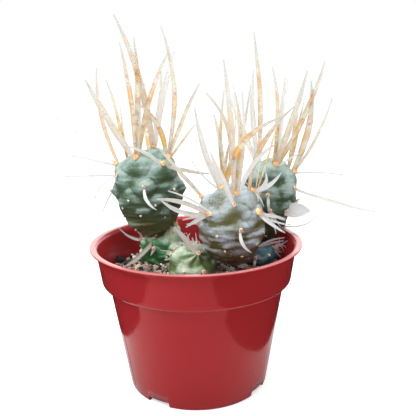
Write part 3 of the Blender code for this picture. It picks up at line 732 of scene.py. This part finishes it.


# Living skin under a wax bloom: matt, grey-blue on the shelves, with a tint of its own towards the
# foot. deep is painted shade of sunk skin and line painted shade along the creases. The bloom makes
# the joints look dusty; that it is paler along their tops, where skin faces up, is partly painted light.
skins = {
    "left_lower": {
        "deep": "#2A5432", "body": "#4C8C5E", "line": "#284A22", "bloom": "#D9ECD2", "foot": "#2B5A3A",
        "bloomAndLightTilt": 0.6, "bloomRange": (2.2, 2.85), "bloomShare": 0.9, "footRange": (64.0, 55.0)},
    "left_upper": {
        "deep": "#3A5036", "body": "#5A7868", "line": "#2F421E", "bloom": "#9FB0AE", "foot": "#66602F",
        "bloomAndLightTilt": 0.6, "bloomRange": (1.9, 2.7), "bloomShare": 0.78, "footRange": (92.0, 77.0)},
    "centre_lower": {
        "deep": "#5C7446", "body": "#8AA68A", "line": "#4A5428", "bloom": "#C6CFBE", "foot": "#7FAE95",
        "bloomAndLightTilt": 0.6, "bloomRange": (2.05, 2.8), "bloomShare": 0.8, "footRange": (65.0, 56.0)},
    "centre_upper": {
        "deep": "#54542F", "body": "#6D7868", "line": "#5A4E22", "bloom": "#ADB9C4", "foot": "#4A2E25",
        "bloomAndLightTilt": 0.38, "bloomRange": (1.8, 2.6), "bloomShare": 0.84, "footRange": (79.0, 66.0)},
    "right_lower": {
        "deep": "#16363F", "body": "#2C606A", "line": "#122428", "bloom": "#7A9CA2", "foot": "#21424B",
        "bloomAndLightTilt": 0.6, "bloomRange": (2.0, 2.9), "bloomShare": 0.5, "footRange": (64.0, 55.0)},
    "right_upper": {
        "deep": "#364C34", "body": "#567262", "line": "#2F421E", "bloom": "#A3B3AF", "foot": "#453824",
        "bloomAndLightTilt": 0.6, "bloomRange": (1.85, 2.65), "bloomShare": 0.8, "footRange": (86.0, 73.0)},
}


def makeSkin(name):
    look = skins[name]
    material, add = newMaterial("waxy_cactus_skin_" + name, {
        "Roughness": 0.55, "IOR": 1.42, "Subsurface Weight": 0.06, "Subsurface Scale": 1.5 * mm,
        "Subsurface Radius": (0.6, 1.0, 0.4)})
    place = add("TexCoord")
    ridge, upward, under, crease, waxing = (
        add("Attribute", {"attribute_name": field})
        for field in ("ridge", "upward", "under", "crease", "waxed"))
    # patches of bloom about 6 mm across, brushed down the joint in streaks, over skin cells drawn
    # 0.6 mm apart
    patches, streaks, folds = (
        add("TexNoise", inputs={"Vector": add("Mapping", inputs={0: place, "Scale": scales}), "Scale": 1.0,
                                "Detail": detail, "Roughness": rough, "Distortion": distortion})
        for scales, detail, rough, distortion in (
            ((120.0, 120.0, 230.0), 5.0, 0.62, 0.5), ((520.0, 520.0, 130.0), 4.0, 0.65, 0.0),
            ((90.0, 90.0, 330.0), 3.0, 0.5, 0.6)))
    cells = add("TexNoise", inputs={"Vector": place, "Scale": 1400.0, "Detail": 3.0, "Roughness": 0.7})
    # painted shade: the skin goes to its deep green where it lies sunk, in the folds, low on its lumps and
    # under the areoles
    depth = add("Math", multiplyAdd, {0: folds, 1: 0.9, 2: ridge})
    sunk = add("Math", multiplyAdd, {0: under, 1: -0.35, 2: depth})
    shaded = add("MapRange", inputs={0: sunk, 1: 1.2, 2: 0.72})
    greens = add("Mix", asColour, {0: shaded, 6: look["body"], 7: look["deep"]})
    top, bottom = look["footRange"]
    height = add("SeparateXYZ", inputs={0: place})
    foot = add("MapRange", inputs={0: height, 1: top * mm, 2: bottom * mm, 4: 0.9})
    footed = add("Mix", asColour, {0: foot, 6: greens, 7: look["foot"]})
    # painted shade along the creases, mixed towards the line colour
    creaseShadow = add("Math", multiply, {0: crease, 1: 0.5})
    creaseShaded = add("Mix", asColour, {0: creaseShadow, 6: footed, 7: look["line"]})
    # bloom is real wax, broken up by the patches and the cells; laying it paler on skin that faces up and
    # stands out, and less in the creases and under the areoles, is painted light and shade
    total = upward
    for source, weight in ((waxing, 0.55), (under, -0.35), (crease, -0.3), (ridge, 0.3), (patches, 1.5),
                           (streaks, 0.6), (cells, 0.9)):
        total = add("Math", multiplyAdd, {0: source, 1: weight, 2: total})
    begin, full = look["bloomRange"]
    bloom = add("MapRange", inputs={0: total, 1: begin, 2: full, 4: look["bloomShare"]})
    waxed = add("Mix", asColour, {0: bloom, 6: creaseShaded, 7: look["bloom"]})
    matt = add("MapRange", inputs={0: bloom, 3: 0.42, 4: 0.8})
    relief = add("Math", multiplyAdd, {0: folds, 1: 2.5, 2: cells})
    bump = add("Bump", inputs={"Strength": 0.5, "Distance": 0.25 * mm, "Height": relief})
    return plug(material, {"Base Color": waxed, "Roughness": matt, "Normal": bump})


# Two sizes of noise on a joint's points, stretched level, with the finer one weaker
def ripples(points, scales, fine, drift, fineDrift):
    (wide, tall), (fineWide, fineTall) = scales
    return np.array([
        noise.noise(Vector((x * wide, y * wide, z * tall + drift)))
        + fine * noise.noise(Vector((x * fineWide, y * fineWide, z * fineTall + fineDrift)))
        for x, y, z in points])


def makeBody(name):
    spec = joints[name]
    bm = bmesh.new()
    upper = name.endswith("upper")
    bmesh.ops.create_icosphere(bm, subdivisions=skin["fineness"] - (0 if upper else 1), radius=1.0)
    body = newPiece(bm, "skin_" + name, makeSkin(name), 180.0)
    mesh = body.data
    ways = np.empty(len(mesh.vertices) * 3)
    mesh.vertices.foreach_get("co", ways)
    ways = unit(ways.reshape(-1, 3))
    local, rise, under, crease = skinPoints(name, ways)
    # level bands, stronger towards the foot, and soft wrinkles
    drift = 17.0 * spec["seed"]
    bands = ripples(local, skin["bandScales"], skin["bandFine"], drift, -drift)
    flat = skin["bandLevel"] - reliefOf(name, ways)
    local += ways * (bands * flat * spec["band"] * mm)[:, None]
    flat = np.clip(flat, 0.0, 1.0)
    # painted shade: the band troughs count as creases and their crests as standing out, for the skin's colour
    steep, begun = skin["bandCrease"]
    crease = np.maximum(crease, np.clip(-steep * bands - begun, 0.0, 1.0) * flat)
    rise = rise + skin["bandRise"] * bands * flat
    wrinkle = ripples(local, skin["wrinkleScales"], skin["wrinkleFine"], drift, drift)
    slack = 1.0 + skin["footSlack"] * np.clip(-ways[:, 2], 0.0, 1.0)
    local += ways * (wrinkle * slack * skin["wrinkle"] * mm)[:, None]
    place = np.array(jointMatrix(name))
    world = local @ place[:3, :3].T + place[:3, 3]
    if not upper:  # the lower joint gives way under the foot of the one above
        centre = place[:3, 3]
        above = name.replace("lower", "upper")
        low = np.zeros(len(world))
        high = np.ones(len(world))
        for _ in range(skin["seatSteps"]):
            share = (low + high) / 2.0
            hit = insideJoint(above, centre + (world - centre) * share[:, None], skin["seatGap"])
            low = np.where(hit, low, share)
            high = np.where(hit, share, high)
        world = centre + (world - centre) * high[:, None]
    mesh.vertices.foreach_set("co", world.ravel())
    mesh.update()
    normals = np.empty(len(mesh.vertices) * 3)
    mesh.vertices.foreach_get("normal", normals)
    waxing = np.zeros(len(mesh.vertices))
    for spot, spread, amount in spec.get("waxing", ()):
        waxing += amount * bell(angleTo(ways, direction(*spot)) / spread)
    # painted light: skin that faces up gets a larger share of the pale bloom
    tilt = skins[name]["bloomAndLightTilt"]
    middle, share = skin["uprightMiddle"]
    upright = (normals.reshape(-1, 3)[:, 2] - middle) * tilt + share
    setAttribute(mesh, "ridge", rise + skin["waxRise"] * waxing)
    setAttribute(mesh, "upward", np.clip(upright, 0.0, 1.0))
    setAttribute(mesh, "under", under)
    setAttribute(mesh, "waxed", waxing)
    setAttribute(mesh, "crease", crease)
    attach(body, "root")
    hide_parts("joint_" + name)
    return body


for jointName in joints:
    makeBody(jointName)
print("joint skins made")


# Spines: flat papery ribbons, channelled, a little wavy, from the same areoles as in the solids

spine = {
    "rootDepth": 1.4,
    "shownRootDepth": 0.4,
    "arch": 0.11,
    "rootSpread": 0.7,
    "areoleSink": 0.35,
    "areoleRadius": 1.15,
    "aboveSoil": 5.0,
    "goldenFrom": 0.2,     # an areole with a spine this golden is a crown areole
    "thickness": (0.28, 0.3),  # here and below: of a broad spine, and of a slim one
    "stations": (18, 9),
    "across": (4, 2),
    "broaden": (1.2, 1.25),
    "channel": (0.16, 0.35),
    "taper": ((0.93, 3.2), (0.86, 1.7)),  # how much narrower the tip is, and how late it narrows
    "slimWidth": 1.35,
    "thinnest": 0.38,      # thinner ones don't show at this size of render
    "wave": 0.010,
    "twist": 14.0,
    "crownLatitude": 28.0,
    "lowestHidden": -0.25,
    "hiddenLength": (34.0, 58.0),
    "hiddenWidth": (1.8, 2.8),
    "hiddenSpread": (8.0, 30.0),
    "hiddenBow": 0.045,
    "hiddenTurn": 35.0,
    "sideDroop": 0.7,
    "sideLength": (6.0, 12.0),
    "sideWidth": 1.0,
    "clearance": 2.0,
    "draws": 8,
}


def isClear(name, root, heading, length):
    margin = spine["clearance"] * mm
    for share in (0.35, 0.55, 0.75, 1.0):
        point = root + heading * length * share
        reach = math.hypot(point.x, point.y)
        if point.z < pot["height"] * mm + margin and reach > pot["bandFoot"] * mm - 2.0 * margin:
            return False
        if point.z < skin["soilTop"] * mm + 2.0 * margin:
            return False
        for other, spec in joints.items():
            if other == name:
                continue
            local = jointMatrix(other).inverted() @ point
            width = spec["halfWidth"] * mm + margin
            height = spec["halfHeight"] * mm + margin
            if Vector((local.x / width, local.y / width, local.z / height)).length < 1.0:
                return False
    return True


# A spine out of view: it leaves the skin outward and turns up, by the same seeded draw as the solids
def hiddenSpine(areole, outward, crown, draw):
    if crown:
        spread = math.radians(draw.uniform(*spine["hiddenSpread"]))
        length = draw.uniform(*spine["hiddenLength"])
        width = draw.uniform(*spine["hiddenWidth"])
        level = Vector((outward.x, outward.y, 0.0)).normalized()
        turn = math.radians(draw.uniform(-spine["hiddenTurn"], spine["hiddenTurn"]))
        level.rotate(Matrix.Rotation(turn, 3, "Z"))
        heading = (level * math.sin(spread) + Vector((0.0, 0.0, math.cos(spread)))).normalized()
    else:
        length = draw.uniform(*spine["sideLength"])
        width = spine["sideWidth"]
        droop = Vector((draw.uniform(-0.5, 0.5), draw.uniform(-0.5, 0.5), draw.uniform(-0.9, 0.2)))
        heading = (outward + droop * spine["sideDroop"]).normalized()
    side = heading.cross(outward)
    if side.length < 0.05:
        side = heading.cross(Vector((1.0, 0.0, 0.0)))
    side.normalize()
    bow = draw.uniform(-spine["hiddenBow"], spine["hiddenBow"]) * length * mm
    return areole - outward * spine["rootDepth"] * mm, heading, length * mm, side, bow, width


# Every areole of a joint as (place, outward, rank) and every spine as a row of values.
# rank is 2 at the golden crown areoles, 1 with a few thin spines and 0 where it is bare.
def growthOf(name):
    spec = joints[name]
    shown, hidden = areoleWays(name)
    place = jointMatrix(name)
    turn = place.to_3x3()
    pads = []
    spines = []
    for way, (spot, rows) in zip(shown, areoles[name]):
        areole = onSkin(name, way, -spine["areoleSink"])
        outward = (turn @ way).normalized()
        if areole.z < (skin["soilTop"] + spine["aboveSoil"]) * mm:
            continue
        golden = max((row[5] for row in rows if len(row) > 5), default=0.0)
        pads.append((areole, outward, 2 if golden > spine["goldenFrom"] else (1 if rows else 0)))
        inward = (place.translation - areole).normalized() * spine["shownRootDepth"] * mm
        for number, row in enumerate(sorted(rows, key=lambda row: row[1])):
            length, lean, back, bow, width, gold = (*row, 0.0)[:6]
            lean = math.radians(lean)
            back = math.radians(back)
            step = number - (len(rows) - 1) / 2.0
            apart = Vector((step, (number % 2 - 0.5) * min(1, len(rows) - 1), 0.0))
            side = Vector((math.cos(lean), 0.0, -math.sin(lean)))
            level = Vector((math.sin(lean), 0.0, math.cos(lean)))
            heading = level * math.cos(back) + Vector((0.0, math.sin(back), 0.0))
            root = areole + apart * spine["rootSpread"] * mm + inward
            arch = outward * (spine["arch"] * length * mm * max(0.0, 1.0 - heading.dot(outward)))
            spines.append((root, heading, length * mm, side, bow * mm, width, gold, arch))
    draw = random.Random(spec["seed"])
    tint = random.Random(100 + spec["seed"])
    for way in hidden:
        areole = onSkin(name, way, -spine["areoleSink"])
        outward = (turn @ way).normalized()
        crown = name.endswith("upper") and way.z > math.sin(math.radians(spine["crownLatitude"]))
        low = areole.z < (skin["soilTop"] + spine["aboveSoil"]) * mm
        if low or not isClear(name, areole, outward, spine["areoleRadius"] * mm):
            continue
        if way.y <= 0.05 or way.z < spine["lowestHidden"]:
            pads.append((areole, outward, 0))
            continue
        pads.append((areole, outward, 2 if crown else 1))
        for _ in range(2 if crown else 1):
            for _ in range(spine["draws"]):
                root, heading, length, side, bow, width = hiddenSpine(areole, outward, crown, draw)
                if isClear(name, root, heading, length):
                    gold = tint.uniform(0.2, 0.95) if crown else 0.0
                    spines.append((root, heading, length, side, bow, width, gold, Vector()))
                    break
    return pads, spines


# One ribbon: a grid bent along its line, narrow at the root, full, then drawn out to the tip
def addRibbon(target, row, draw):
    root, heading, length, side, bow, width, gold, arch = row
    flat = heading.cross(side).normalized()
    seed = draw.random()
    phase = draw.uniform(0.0, 6.28)
    twist = math.radians(draw.uniform(-spine["twist"], spine["twist"]))
    wave = spine["wave"] * length * draw.uniform(0.3, 1.0)
    slim = width < spine["slimWidth"]
    channel = spine["channel"][slim] * (1.0 if slim else draw.uniform(0.4, 1.4))
    taper, power = spine["taper"][slim]
    bm = bmesh.new()
    layers = [bm.verts.layers.float.new(name) for name in ("along", "across", "gold", "seed", "reach")]
    bmesh.ops.create_grid(bm, x_segments=spine["across"][slim], y_segments=spine["stations"][slim], size=1.0)
    for vert in bm.verts:
        u = vert.co.x
        s = (vert.co.y + 1.0) / 2.0
        if slim:
            swell = min(1.0, 0.6 + 1.6 * s)
        else:
            swell = 0.58 + 0.42 * math.sin(min(s / 0.45, 1.0) * math.pi / 2.0)
        swell *= 1.0 - taper * s ** power
        half = 0.5 * max(width * swell * spine["broaden"][slim], spine["thinnest"]) * mm
        angle = twist * s
        spanned = side * math.cos(angle) + flat * math.sin(angle)
        hollow = flat * math.cos(angle) - side * math.sin(angle)
        middle = root + heading * length * s + side * (bow * 4.0 * s * (1.0 - s))
        middle += arch * (4.0 * s * (1.0 - s))
        fade = math.sin(math.pi * s)
        middle += flat * (wave * fade * math.sin(5.0 * s + phase))
        middle += side * (0.35 * wave * fade * math.sin(9.0 * s + phase))
        vert.co = middle + spanned * (u * half) + hollow * (channel * half * (1.0 - u * u))
        for layer, value in zip(layers, (s, u, gold, seed, length * s / mm)):
            vert[layer] = value
    bmesh.ops.solidify(bm, geom=bm.faces[:], thickness=spine["thickness"][slim] * mm)
    bmesh.ops.recalc_face_normals(bm, faces=bm.faces)
    appendMesh(target, bm)


# Papery spine: dead, dry, fibrous and matt. Ivory at the tip, golden with orange edges and
# purple-brown blots lower down on the crown spines, and near white on the flank spines.
paper = {
    "ivory": [(0.0, "#DDD2C0"), (0.06, "#E9EDEC"), (0.3, "#ECF0F3"), (0.85, "#DCE2E6"), (1.0, "#BCC2C6")],
    "straw": [(0.0, "#CC9448"), (0.06, "#D2C8A4"), (0.35, "#D8D8BC"), (0.55, "#D9D4AF"),
              (0.75, "#D0D1BC"), (1.0, "#B4B6B0")],
    "gilt": "#DE9A2E",
    "edge": "#CC7E1E",
    "blot": "#9A6E74",
    "fibre": "#BCBCB0",
}


def makeSpinePaper():
    material, add = newMaterial("dry_papery_spine", {
        "Roughness": 0.62, "IOR": 1.45, "Specular IOR Level": 0.35,
        "Subsurface Weight": 0.5, "Subsurface Scale": 1.2 * mm, "Subsurface Radius": (0.9, 0.9, 0.86)})
    along, across, gold, seed, reach = (
        add("Attribute", {"attribute_name": field}) for field in ("along", "across", "gold", "seed", "reach"))
    drift = add("Math", multiply, {0: seed, 1: 80.0})
    sheet = add("CombineXYZ", inputs={0: across, 1: reach, 2: drift})
    # fibres along the spine, a quarter of its width apart; blots some 4 mm long; golden stretches
    fibres, blots, patches = (
        add("TexNoise", inputs={"Vector": add("Mapping", inputs={0: sheet, "Scale": scales}), "Scale": 1.0,
                                "Detail": detail, "Roughness": rough})
        for scales, detail, rough in (
            ((3.5, 0.12, 1.0), 4.0, 0.5), ((0.4, 0.36, 1.0), 3.0, 0.6), ((0.25, 0.19, 1.7), 2.0, 0.5)))
    ivory = add("ValToRGB", {"stops": paper["ivory"]}, {0: along})
    straw = add("ValToRGB", {"stops": paper["straw"]}, {0: along})
    paleness = add("MapRange", inputs={0: gold, 1: 0.02, 2: 0.5})
    base = add("Mix", asColour, {0: paleness, 6: ivory, 7: straw})
    lower = add("MapRange", inputs={0: along, 1: 1.0, 2: 0.55})
    strength = add("Math", multiply, {0: lower, 1: gold})
    stretches = add("MapRange", inputs={0: patches, 1: 0.42, 2: 0.56})
    gilt = add("Math", multiply, {0: stretches, 1: strength})
    gilded = add("Mix", asColour, {0: gilt, 6: base, 7: paper["gilt"]})
    # orange along the edges
    edge = add("Math", {"operation": "ABSOLUTE"}, {0: across})
    edgeShare = add("MapRange", inputs={0: edge, 1: 0.3, 2: 0.95})
    warmEdge = add("Math", multiply, {0: edgeShare, 1: strength})
    spells = add("MapRange", inputs={0: patches, 1: 0.38, 2: 0.56, 3: 0.25})
    warm = add("Math", multiply, {0: warmEdge, 1: spells})
    edged = add("Mix", asColour, {0: warm, 6: gilded, 7: paper["edge"]})
    # purple-brown blots down the middle
    blotted = add("MapRange", inputs={0: blots, 1: 0.55, 2: 0.64})
    middle = add("MapRange", inputs={0: edge, 1: 0.95, 2: 0.4})
    inside = add("Math", multiply, {0: blotted, 1: strength})
    share = add("Math", multiply, {0: inside, 1: middle})
    spotted = add("Mix", asColour, {0: share, 6: edged, 7: paper["blot"]})
    tone = add("MapRange", inputs={0: fibres, 1: 0.32, 2: 0.66, 4: 0.5})
    fibrous = add("Mix", {**asColour, "blend_type": "MULTIPLY"}, {0: tone, 6: spotted, 7: paper["fibre"]})
    bump = add("Bump", inputs={"Strength": 0.5, "Distance": 0.15 * mm, "Height": fibres})
    return plug(material, {"Base Color": fibrous, "Normal": bump})


# Areole wool: a felt of short hairs, orange where it is young at the crown and pinkish white below
wool = {
    "radii": (0.65, 1.0, 1.4),      # by rank: bare, thin spines, crown
    "heights": (0.3, 0.55, 1.1),
    "bristles": (2, 12, 44),
    "bristleLength": (0.7, 2.3),
    "bristleRadius": (0.12, 0.02),  # at its root and its tip
    "bristleRing": 0.75,            # share of the pad that they grow on
    "padLift": 0.45,
    "bristleLift": 0.5,
    "heart": [(0.0, "#E3C3B4"), (0.5, "#B9552A"), (1.0, "#D2862C")],
    "fringe": [(0.0, "#E8D3C8"), (0.5, "#E6C0A4"), (1.0, "#E8BC7C")],
    "tuft": "#F3E0BC",
}


def makeWool():
    material, add = newMaterial("areole_wool_felt", {
        "Roughness": 0.95, "Specular IOR Level": 0.1, "Sheen Weight": 0.4, "Sheen Roughness": 0.6})
    rank, rim = (add("Attribute", {"attribute_name": field}) for field in ("rank", "rim"))
    tufts = add("TexNoise", inputs={"Vector": add("TexCoord"), "Scale": 2500.0, "Detail": 2.0})
    heart = add("ValToRGB", {"stops": wool["heart"]}, {0: rank})
    fringe = add("ValToRGB", {"stops": wool["fringe"]}, {0: rank})
    outer = add("MapRange", inputs={0: rim, 1: 0.35, 2: 0.75})
    felt = add("Mix", asColour, {0: outer, 6: heart, 7: fringe})
    tone = add("MapRange", inputs={0: tufts, 1: 0.35, 2: 0.65, 4: 0.45})
    mixed = add("Mix", asColour, {0: tone, 6: felt, 7: wool["tuft"]})
    bump = add("Bump", inputs={"Strength": 0.8, "Distance": 0.2 * mm, "Height": tufts})
    return plug(material, {"Base Color": mixed, "Normal": bump})


def addPad(target, place, outward, rank, draw):
    bm = bmesh.new()
    layer = bm.verts.layers.float.new("rank")
    rim = bm.verts.layers.float.new("rim")
    bmesh.ops.create_icosphere(bm, subdivisions=2, radius=1.0)
    radius = wool["radii"][rank] * mm
    size = Matrix.Diagonal((radius * draw.uniform(0.8, 1.25), radius * draw.uniform(0.8, 1.35),
                            wool["heights"][rank] * mm, 1.0))
    for vert in bm.verts:
        vert[layer] = rank / 2.0
        vert[rim] = math.hypot(vert.co.x, vert.co.y)
        vert.co *= 1.0 + 0.5 * (draw.random() - 0.5)
    lift = outward * (spine["areoleSink"] + wool["padLift"]) * mm
    bm.transform(Matrix.Translation(place + lift) @ facing(outward) @ size)
    appendMesh(target, bm)


def addBristles(target, place, outward, rank, draw):
    ring = wool["radii"][rank] * wool["bristleRing"]
    root = place + outward * (spine["areoleSink"] + wool["bristleLift"]) * mm
    thick, thin = wool["bristleRadius"]
    for _ in range(wool["bristles"][rank]):
        start = Vector((draw.uniform(-ring, ring), draw.uniform(-ring, ring), 0.0)) * mm
        tilt = Vector((draw.uniform(-1.0, 1.0), draw.uniform(-1.0, 1.0), draw.uniform(0.8, 1.6)))
        length = draw.uniform(*wool["bristleLength"]) * mm * (0.6 + 0.25 * rank)
        bm = bmesh.new()
        layer = bm.verts.layers.float.new("rank")
        rim = bm.verts.layers.float.new("rim")
        bmesh.ops.create_cone(bm, cap_ends=True, segments=3, radius1=thick * mm, radius2=thin * mm,
                              depth=length, matrix=Matrix.Translation((0.0, 0.0, length / 2.0)))
        for vert in bm.verts:
            vert[layer] = rank / 2.0
            vert[rim] = draw.random()
        bm.transform(Matrix.Translation(root) @ facing(outward) @ Matrix.Translation(start) @ facing(tilt))
        appendMesh(target, bm)


spinePaper = makeSpinePaper()
woolFelt = makeWool()
for jointName in joints:
    pads, rows = growthOf(jointName)
    draw = random.Random(300 + joints[jointName]["seed"])
    ribbons = bmesh.new()
    for row in rows:
        addRibbon(ribbons, row, draw)
    blades = newPiece(ribbons, "spines_" + jointName, spinePaper, 50.0)
    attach(blades, "root")
    felt = bmesh.new()
    for padPlace, padOut, padRank in pads:
        addPad(felt, padPlace, padOut, padRank, draw)
        addBristles(felt, padPlace, padOut, padRank, draw)
    cushions = newPiece(felt, "areoles_" + jointName, woolFelt, 60.0)
    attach(cushions, "root")
    print("grown on", jointName, ":", len(pads), "areoles,", len(rows), "spines")


# Soil: the solid's grainy bed under loose grit, dark stones, perlite and dry bits

soil = {
    "seed": 77,
    "ledgeRadius": 45.0,
    "ledgeHeight": 58.6,
    "wallRadius": 47.6,
    "innerWall": 48.0,
    "grainReach": 1.6,     # in radii, kept clear of the wall
    "emptyLedge": 0.35,    # share of the ledge's grains that are left out
    "ledgeRise": (46.8, 0.8),  # from this radius on the grains lean up the wall, at this slope
    "jointMargin": 0.6,
    "rough": (0.16, 0.45),  # of the grains with many faces, and of those with few
    "knobbly": 0.55,
    "knobScale": 1.4,
    "placedLook": {"subdivisions": 3, "stretch": (1.15, 0.95, 0.8), "tilt": Vector((0.3, 0.2, 1.0))},
    "placedRise": 0.45,
    "probeHeight": 75.0,
    "lowestBed": 57.0,
    "bed": [(0.0, "#2A211B"), (0.5, "#4A382C"), (0.8, "#6E5644"), (1.0, "#8D7660")],
    "grains": {
        "tan_grit": {"count": 2900, "radius": (0.5, 1.5), "squash": 0.8, "sink": 0.2, "faces": 1},
        "dark_stones": {"count": 620, "radius": (0.7, 1.9), "squash": 0.75, "sink": 0.1, "faces": 1},
        "perlite": {"count": 60, "radius": (0.7, 1.7), "squash": 0.85, "sink": -0.1, "faces": 2},
        "dry_bits": {"count": 26, "radius": (0.5, 1.1), "squash": 0.6, "sink": 0.0, "faces": 1},
    },
    # single pieces that catch the eye: (kind, x, y, radius, shade)
    "placed": (
        ("dark_stones", -42.0, 12.5, 3.0, 0.2), ("dark_stones", -37.5, 8.5, 2.4, 0.5),
        ("perlite", -33.5, 17.5, 2.3, 0.7), ("perlite", 25.0, 0.5, 3.6, 0.6),
        ("perlite", 18.5, -4.5, 1.9, 0.9), ("perlite", 44.5, 1.5, 1.6, 0.8),
        ("tan_grit", -27.5, 1.5, 2.2, 0.8), ("tan_grit", -31.5, 4.0, 1.9, 0.6),
        ("dry_bits", -40.5, 20.5, 1.5, 0.7), ("dry_bits", 44.5, 6.5, 1.4, 0.6),
        ("dry_bits", 43.5, 12.0, 1.2, 0.9),
    ),
}

# Dry cactus mix: crushed stone and fired clay grit, matt and dusty, no two grains alike
grainLooks = {
    "tan_grit": [(0.0, "#5A4638"), (0.2, "#8A725C"), (0.4, "#B79C82"), (0.6, "#CDB79A"), (0.8, "#9C8A80"),
                 (1.0, "#E4D8C0")],
    "dark_stones": [(0.0, "#151515"), (0.3, "#2A2A2C"), (0.6, "#45464B"), (0.85, "#696A6E"),
                    (1.0, "#8B857F")],
    "perlite": [(0.0, "#D5D6D8"), (0.5, "#EDEDEC"), (1.0, "#F7F5F0")],
    "dry_bits": [(0.0, "#6E4A2A"), (0.5, "#C08A45"), (1.0, "#E3BC72")],
}


def makeGrainMaterial(name):
    material, add = newMaterial("dry_mix_" + name, {"Roughness": 0.88, "Specular IOR Level": 0.3})
    grain = add("Attribute", {"attribute_name": "grain"})
    colours = add("ValToRGB", {"stops": grainLooks[name]}, {0: grain})
    # pits some 0.5 mm apart, as on burst clay and crushed stone
    pits = add("TexNoise", inputs={"Vector": add("TexCoord"), "Scale": 1800.0, "Detail": 4.0})
    tone = add("MapRange", inputs={0: pits, 1: 0.35, 2: 0.65, 3: 0.6, 4: 1.15})
    dusty = add("VectorMath", {"operation": "SCALE"}, {0: colours, "Scale": tone})
    bump = add("Bump", inputs={"Strength": 0.7, "Distance": 0.2 * mm, "Height": pits})
    return plug(material, {"Base Color": dusty, "Normal": bump})


# Sifted peat between the grains, dark and matt, in crumbs 1.6 mm across
def dressSoilBed():
    material, add = newMaterial("sifted_peat_and_grit", {"Roughness": 0.95, "Specular IOR Level": 0.2})
    crumbs = add("TexVoronoi", inputs={"Vector": add("TexCoord"), "Scale": 620.0})
    shades = add("ValToRGB", {"stops": soil["bed"]}, {0: crumbs.node.outputs["Color"]})
    bump = add("Bump", inputs={"Strength": 1.0, "Distance": 0.6 * mm, "Height": crumbs})
    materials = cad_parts["soil"].data.materials
    materials.clear()
    materials.append(plug(material, {"Base Color": shades, "Normal": bump}))


def addGrain(heap, centre, radius, shade, draw, subdivisions, stretch, tilt):
    one = bmesh.new()
    layer = one.verts.layers.float.new("grain")
    bmesh.ops.create_icosphere(one, subdivisions=subdivisions, radius=radius)
    offset = Vector((draw.random(), draw.random(), draw.random())) * 50.0
    rough = soil["rough"][subdivisions == 1]
    for vert in one.verts:
        knobbly = soil["knobbly"] * noise.noise(vert.co / radius * soil["knobScale"] + offset)
        vert.co *= 1.0 + rough * (draw.random() - 0.5) + knobbly
        vert[layer] = shade
    one.transform(Matrix.Translation(centre) @ facing(tilt) @ Matrix.Diagonal((*stretch, 1.0)))
    appendMesh(heap, one)


def scatterGrains():
    tree = BVHTree.FromObject(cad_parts["soil"], bpy.context.evaluated_depsgraph_get())
    draw = random.Random(soil["seed"])
    down = Vector((0.0, 0.0, -1.0))
    riseFrom, slope = soil["ledgeRise"]
    for name, kind in soil["grains"].items():
        heap = bmesh.new()
        for _ in range(kind["count"]):
            radius = draw.uniform(*kind["radius"]) * draw.uniform(0.8, 1.0) * mm
            reach = math.sqrt(draw.random()) * soil["wallRadius"] * mm
            turn = draw.uniform(0.0, 2.0 * math.pi)
            spot = Vector((reach * math.cos(turn), reach * math.sin(turn), soil["probeHeight"] * mm))
            tilt = Vector((draw.uniform(-1, 1), draw.uniform(-1, 1), draw.uniform(-1, 1)))
            shade = draw.random()
            stretch = draw.uniform(0.7, 1.3)
            if reach > soil["ledgeRadius"] * mm:
                tooFar = reach + soil["grainReach"] * radius > soil["innerWall"] * mm
                if tooFar or draw.random() < soil["emptyLedge"]:
                    continue
                height = soil["ledgeHeight"] * mm + max(0.0, reach - riseFrom * mm) * slope
            else:
                hit = tree.ray_cast(spot, down)[0]
                if hit is None or hit.z < soil["lowestBed"] * mm:
                    continue
                height = hit.z
            centre = Vector((spot.x, spot.y, height + radius * (0.5 - kind["sink"])))
            margin = soil["jointMargin"] * radius / mm
            if any(insideJoint(joint, np.array([centre]), margin)[0] for joint in joints):
                continue
            addGrain(heap, centre, radius, shade, draw, kind["faces"], (stretch, 1.0, kind["squash"]), tilt)
        for sort, x, y, size, shade in soil["placed"]:
            if sort == name:
                hit = tree.ray_cast(Vector((x * mm, y * mm, soil["probeHeight"] * mm)), down)[0]
                height = hit.z if hit else soil["ledgeHeight"] * mm
                centre = Vector((x * mm, y * mm, height + soil["placedRise"] * size * mm))
                addGrain(heap, centre, size * mm, shade, draw, **soil["placedLook"])
        piece = newPiece(heap, "soil_" + name, makeGrainMaterial(name), 24.0)
        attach(piece, "root")
        print("soil", name, len(piece.data.polygons), "faces")


dressSoilBed()
scatterGrains()
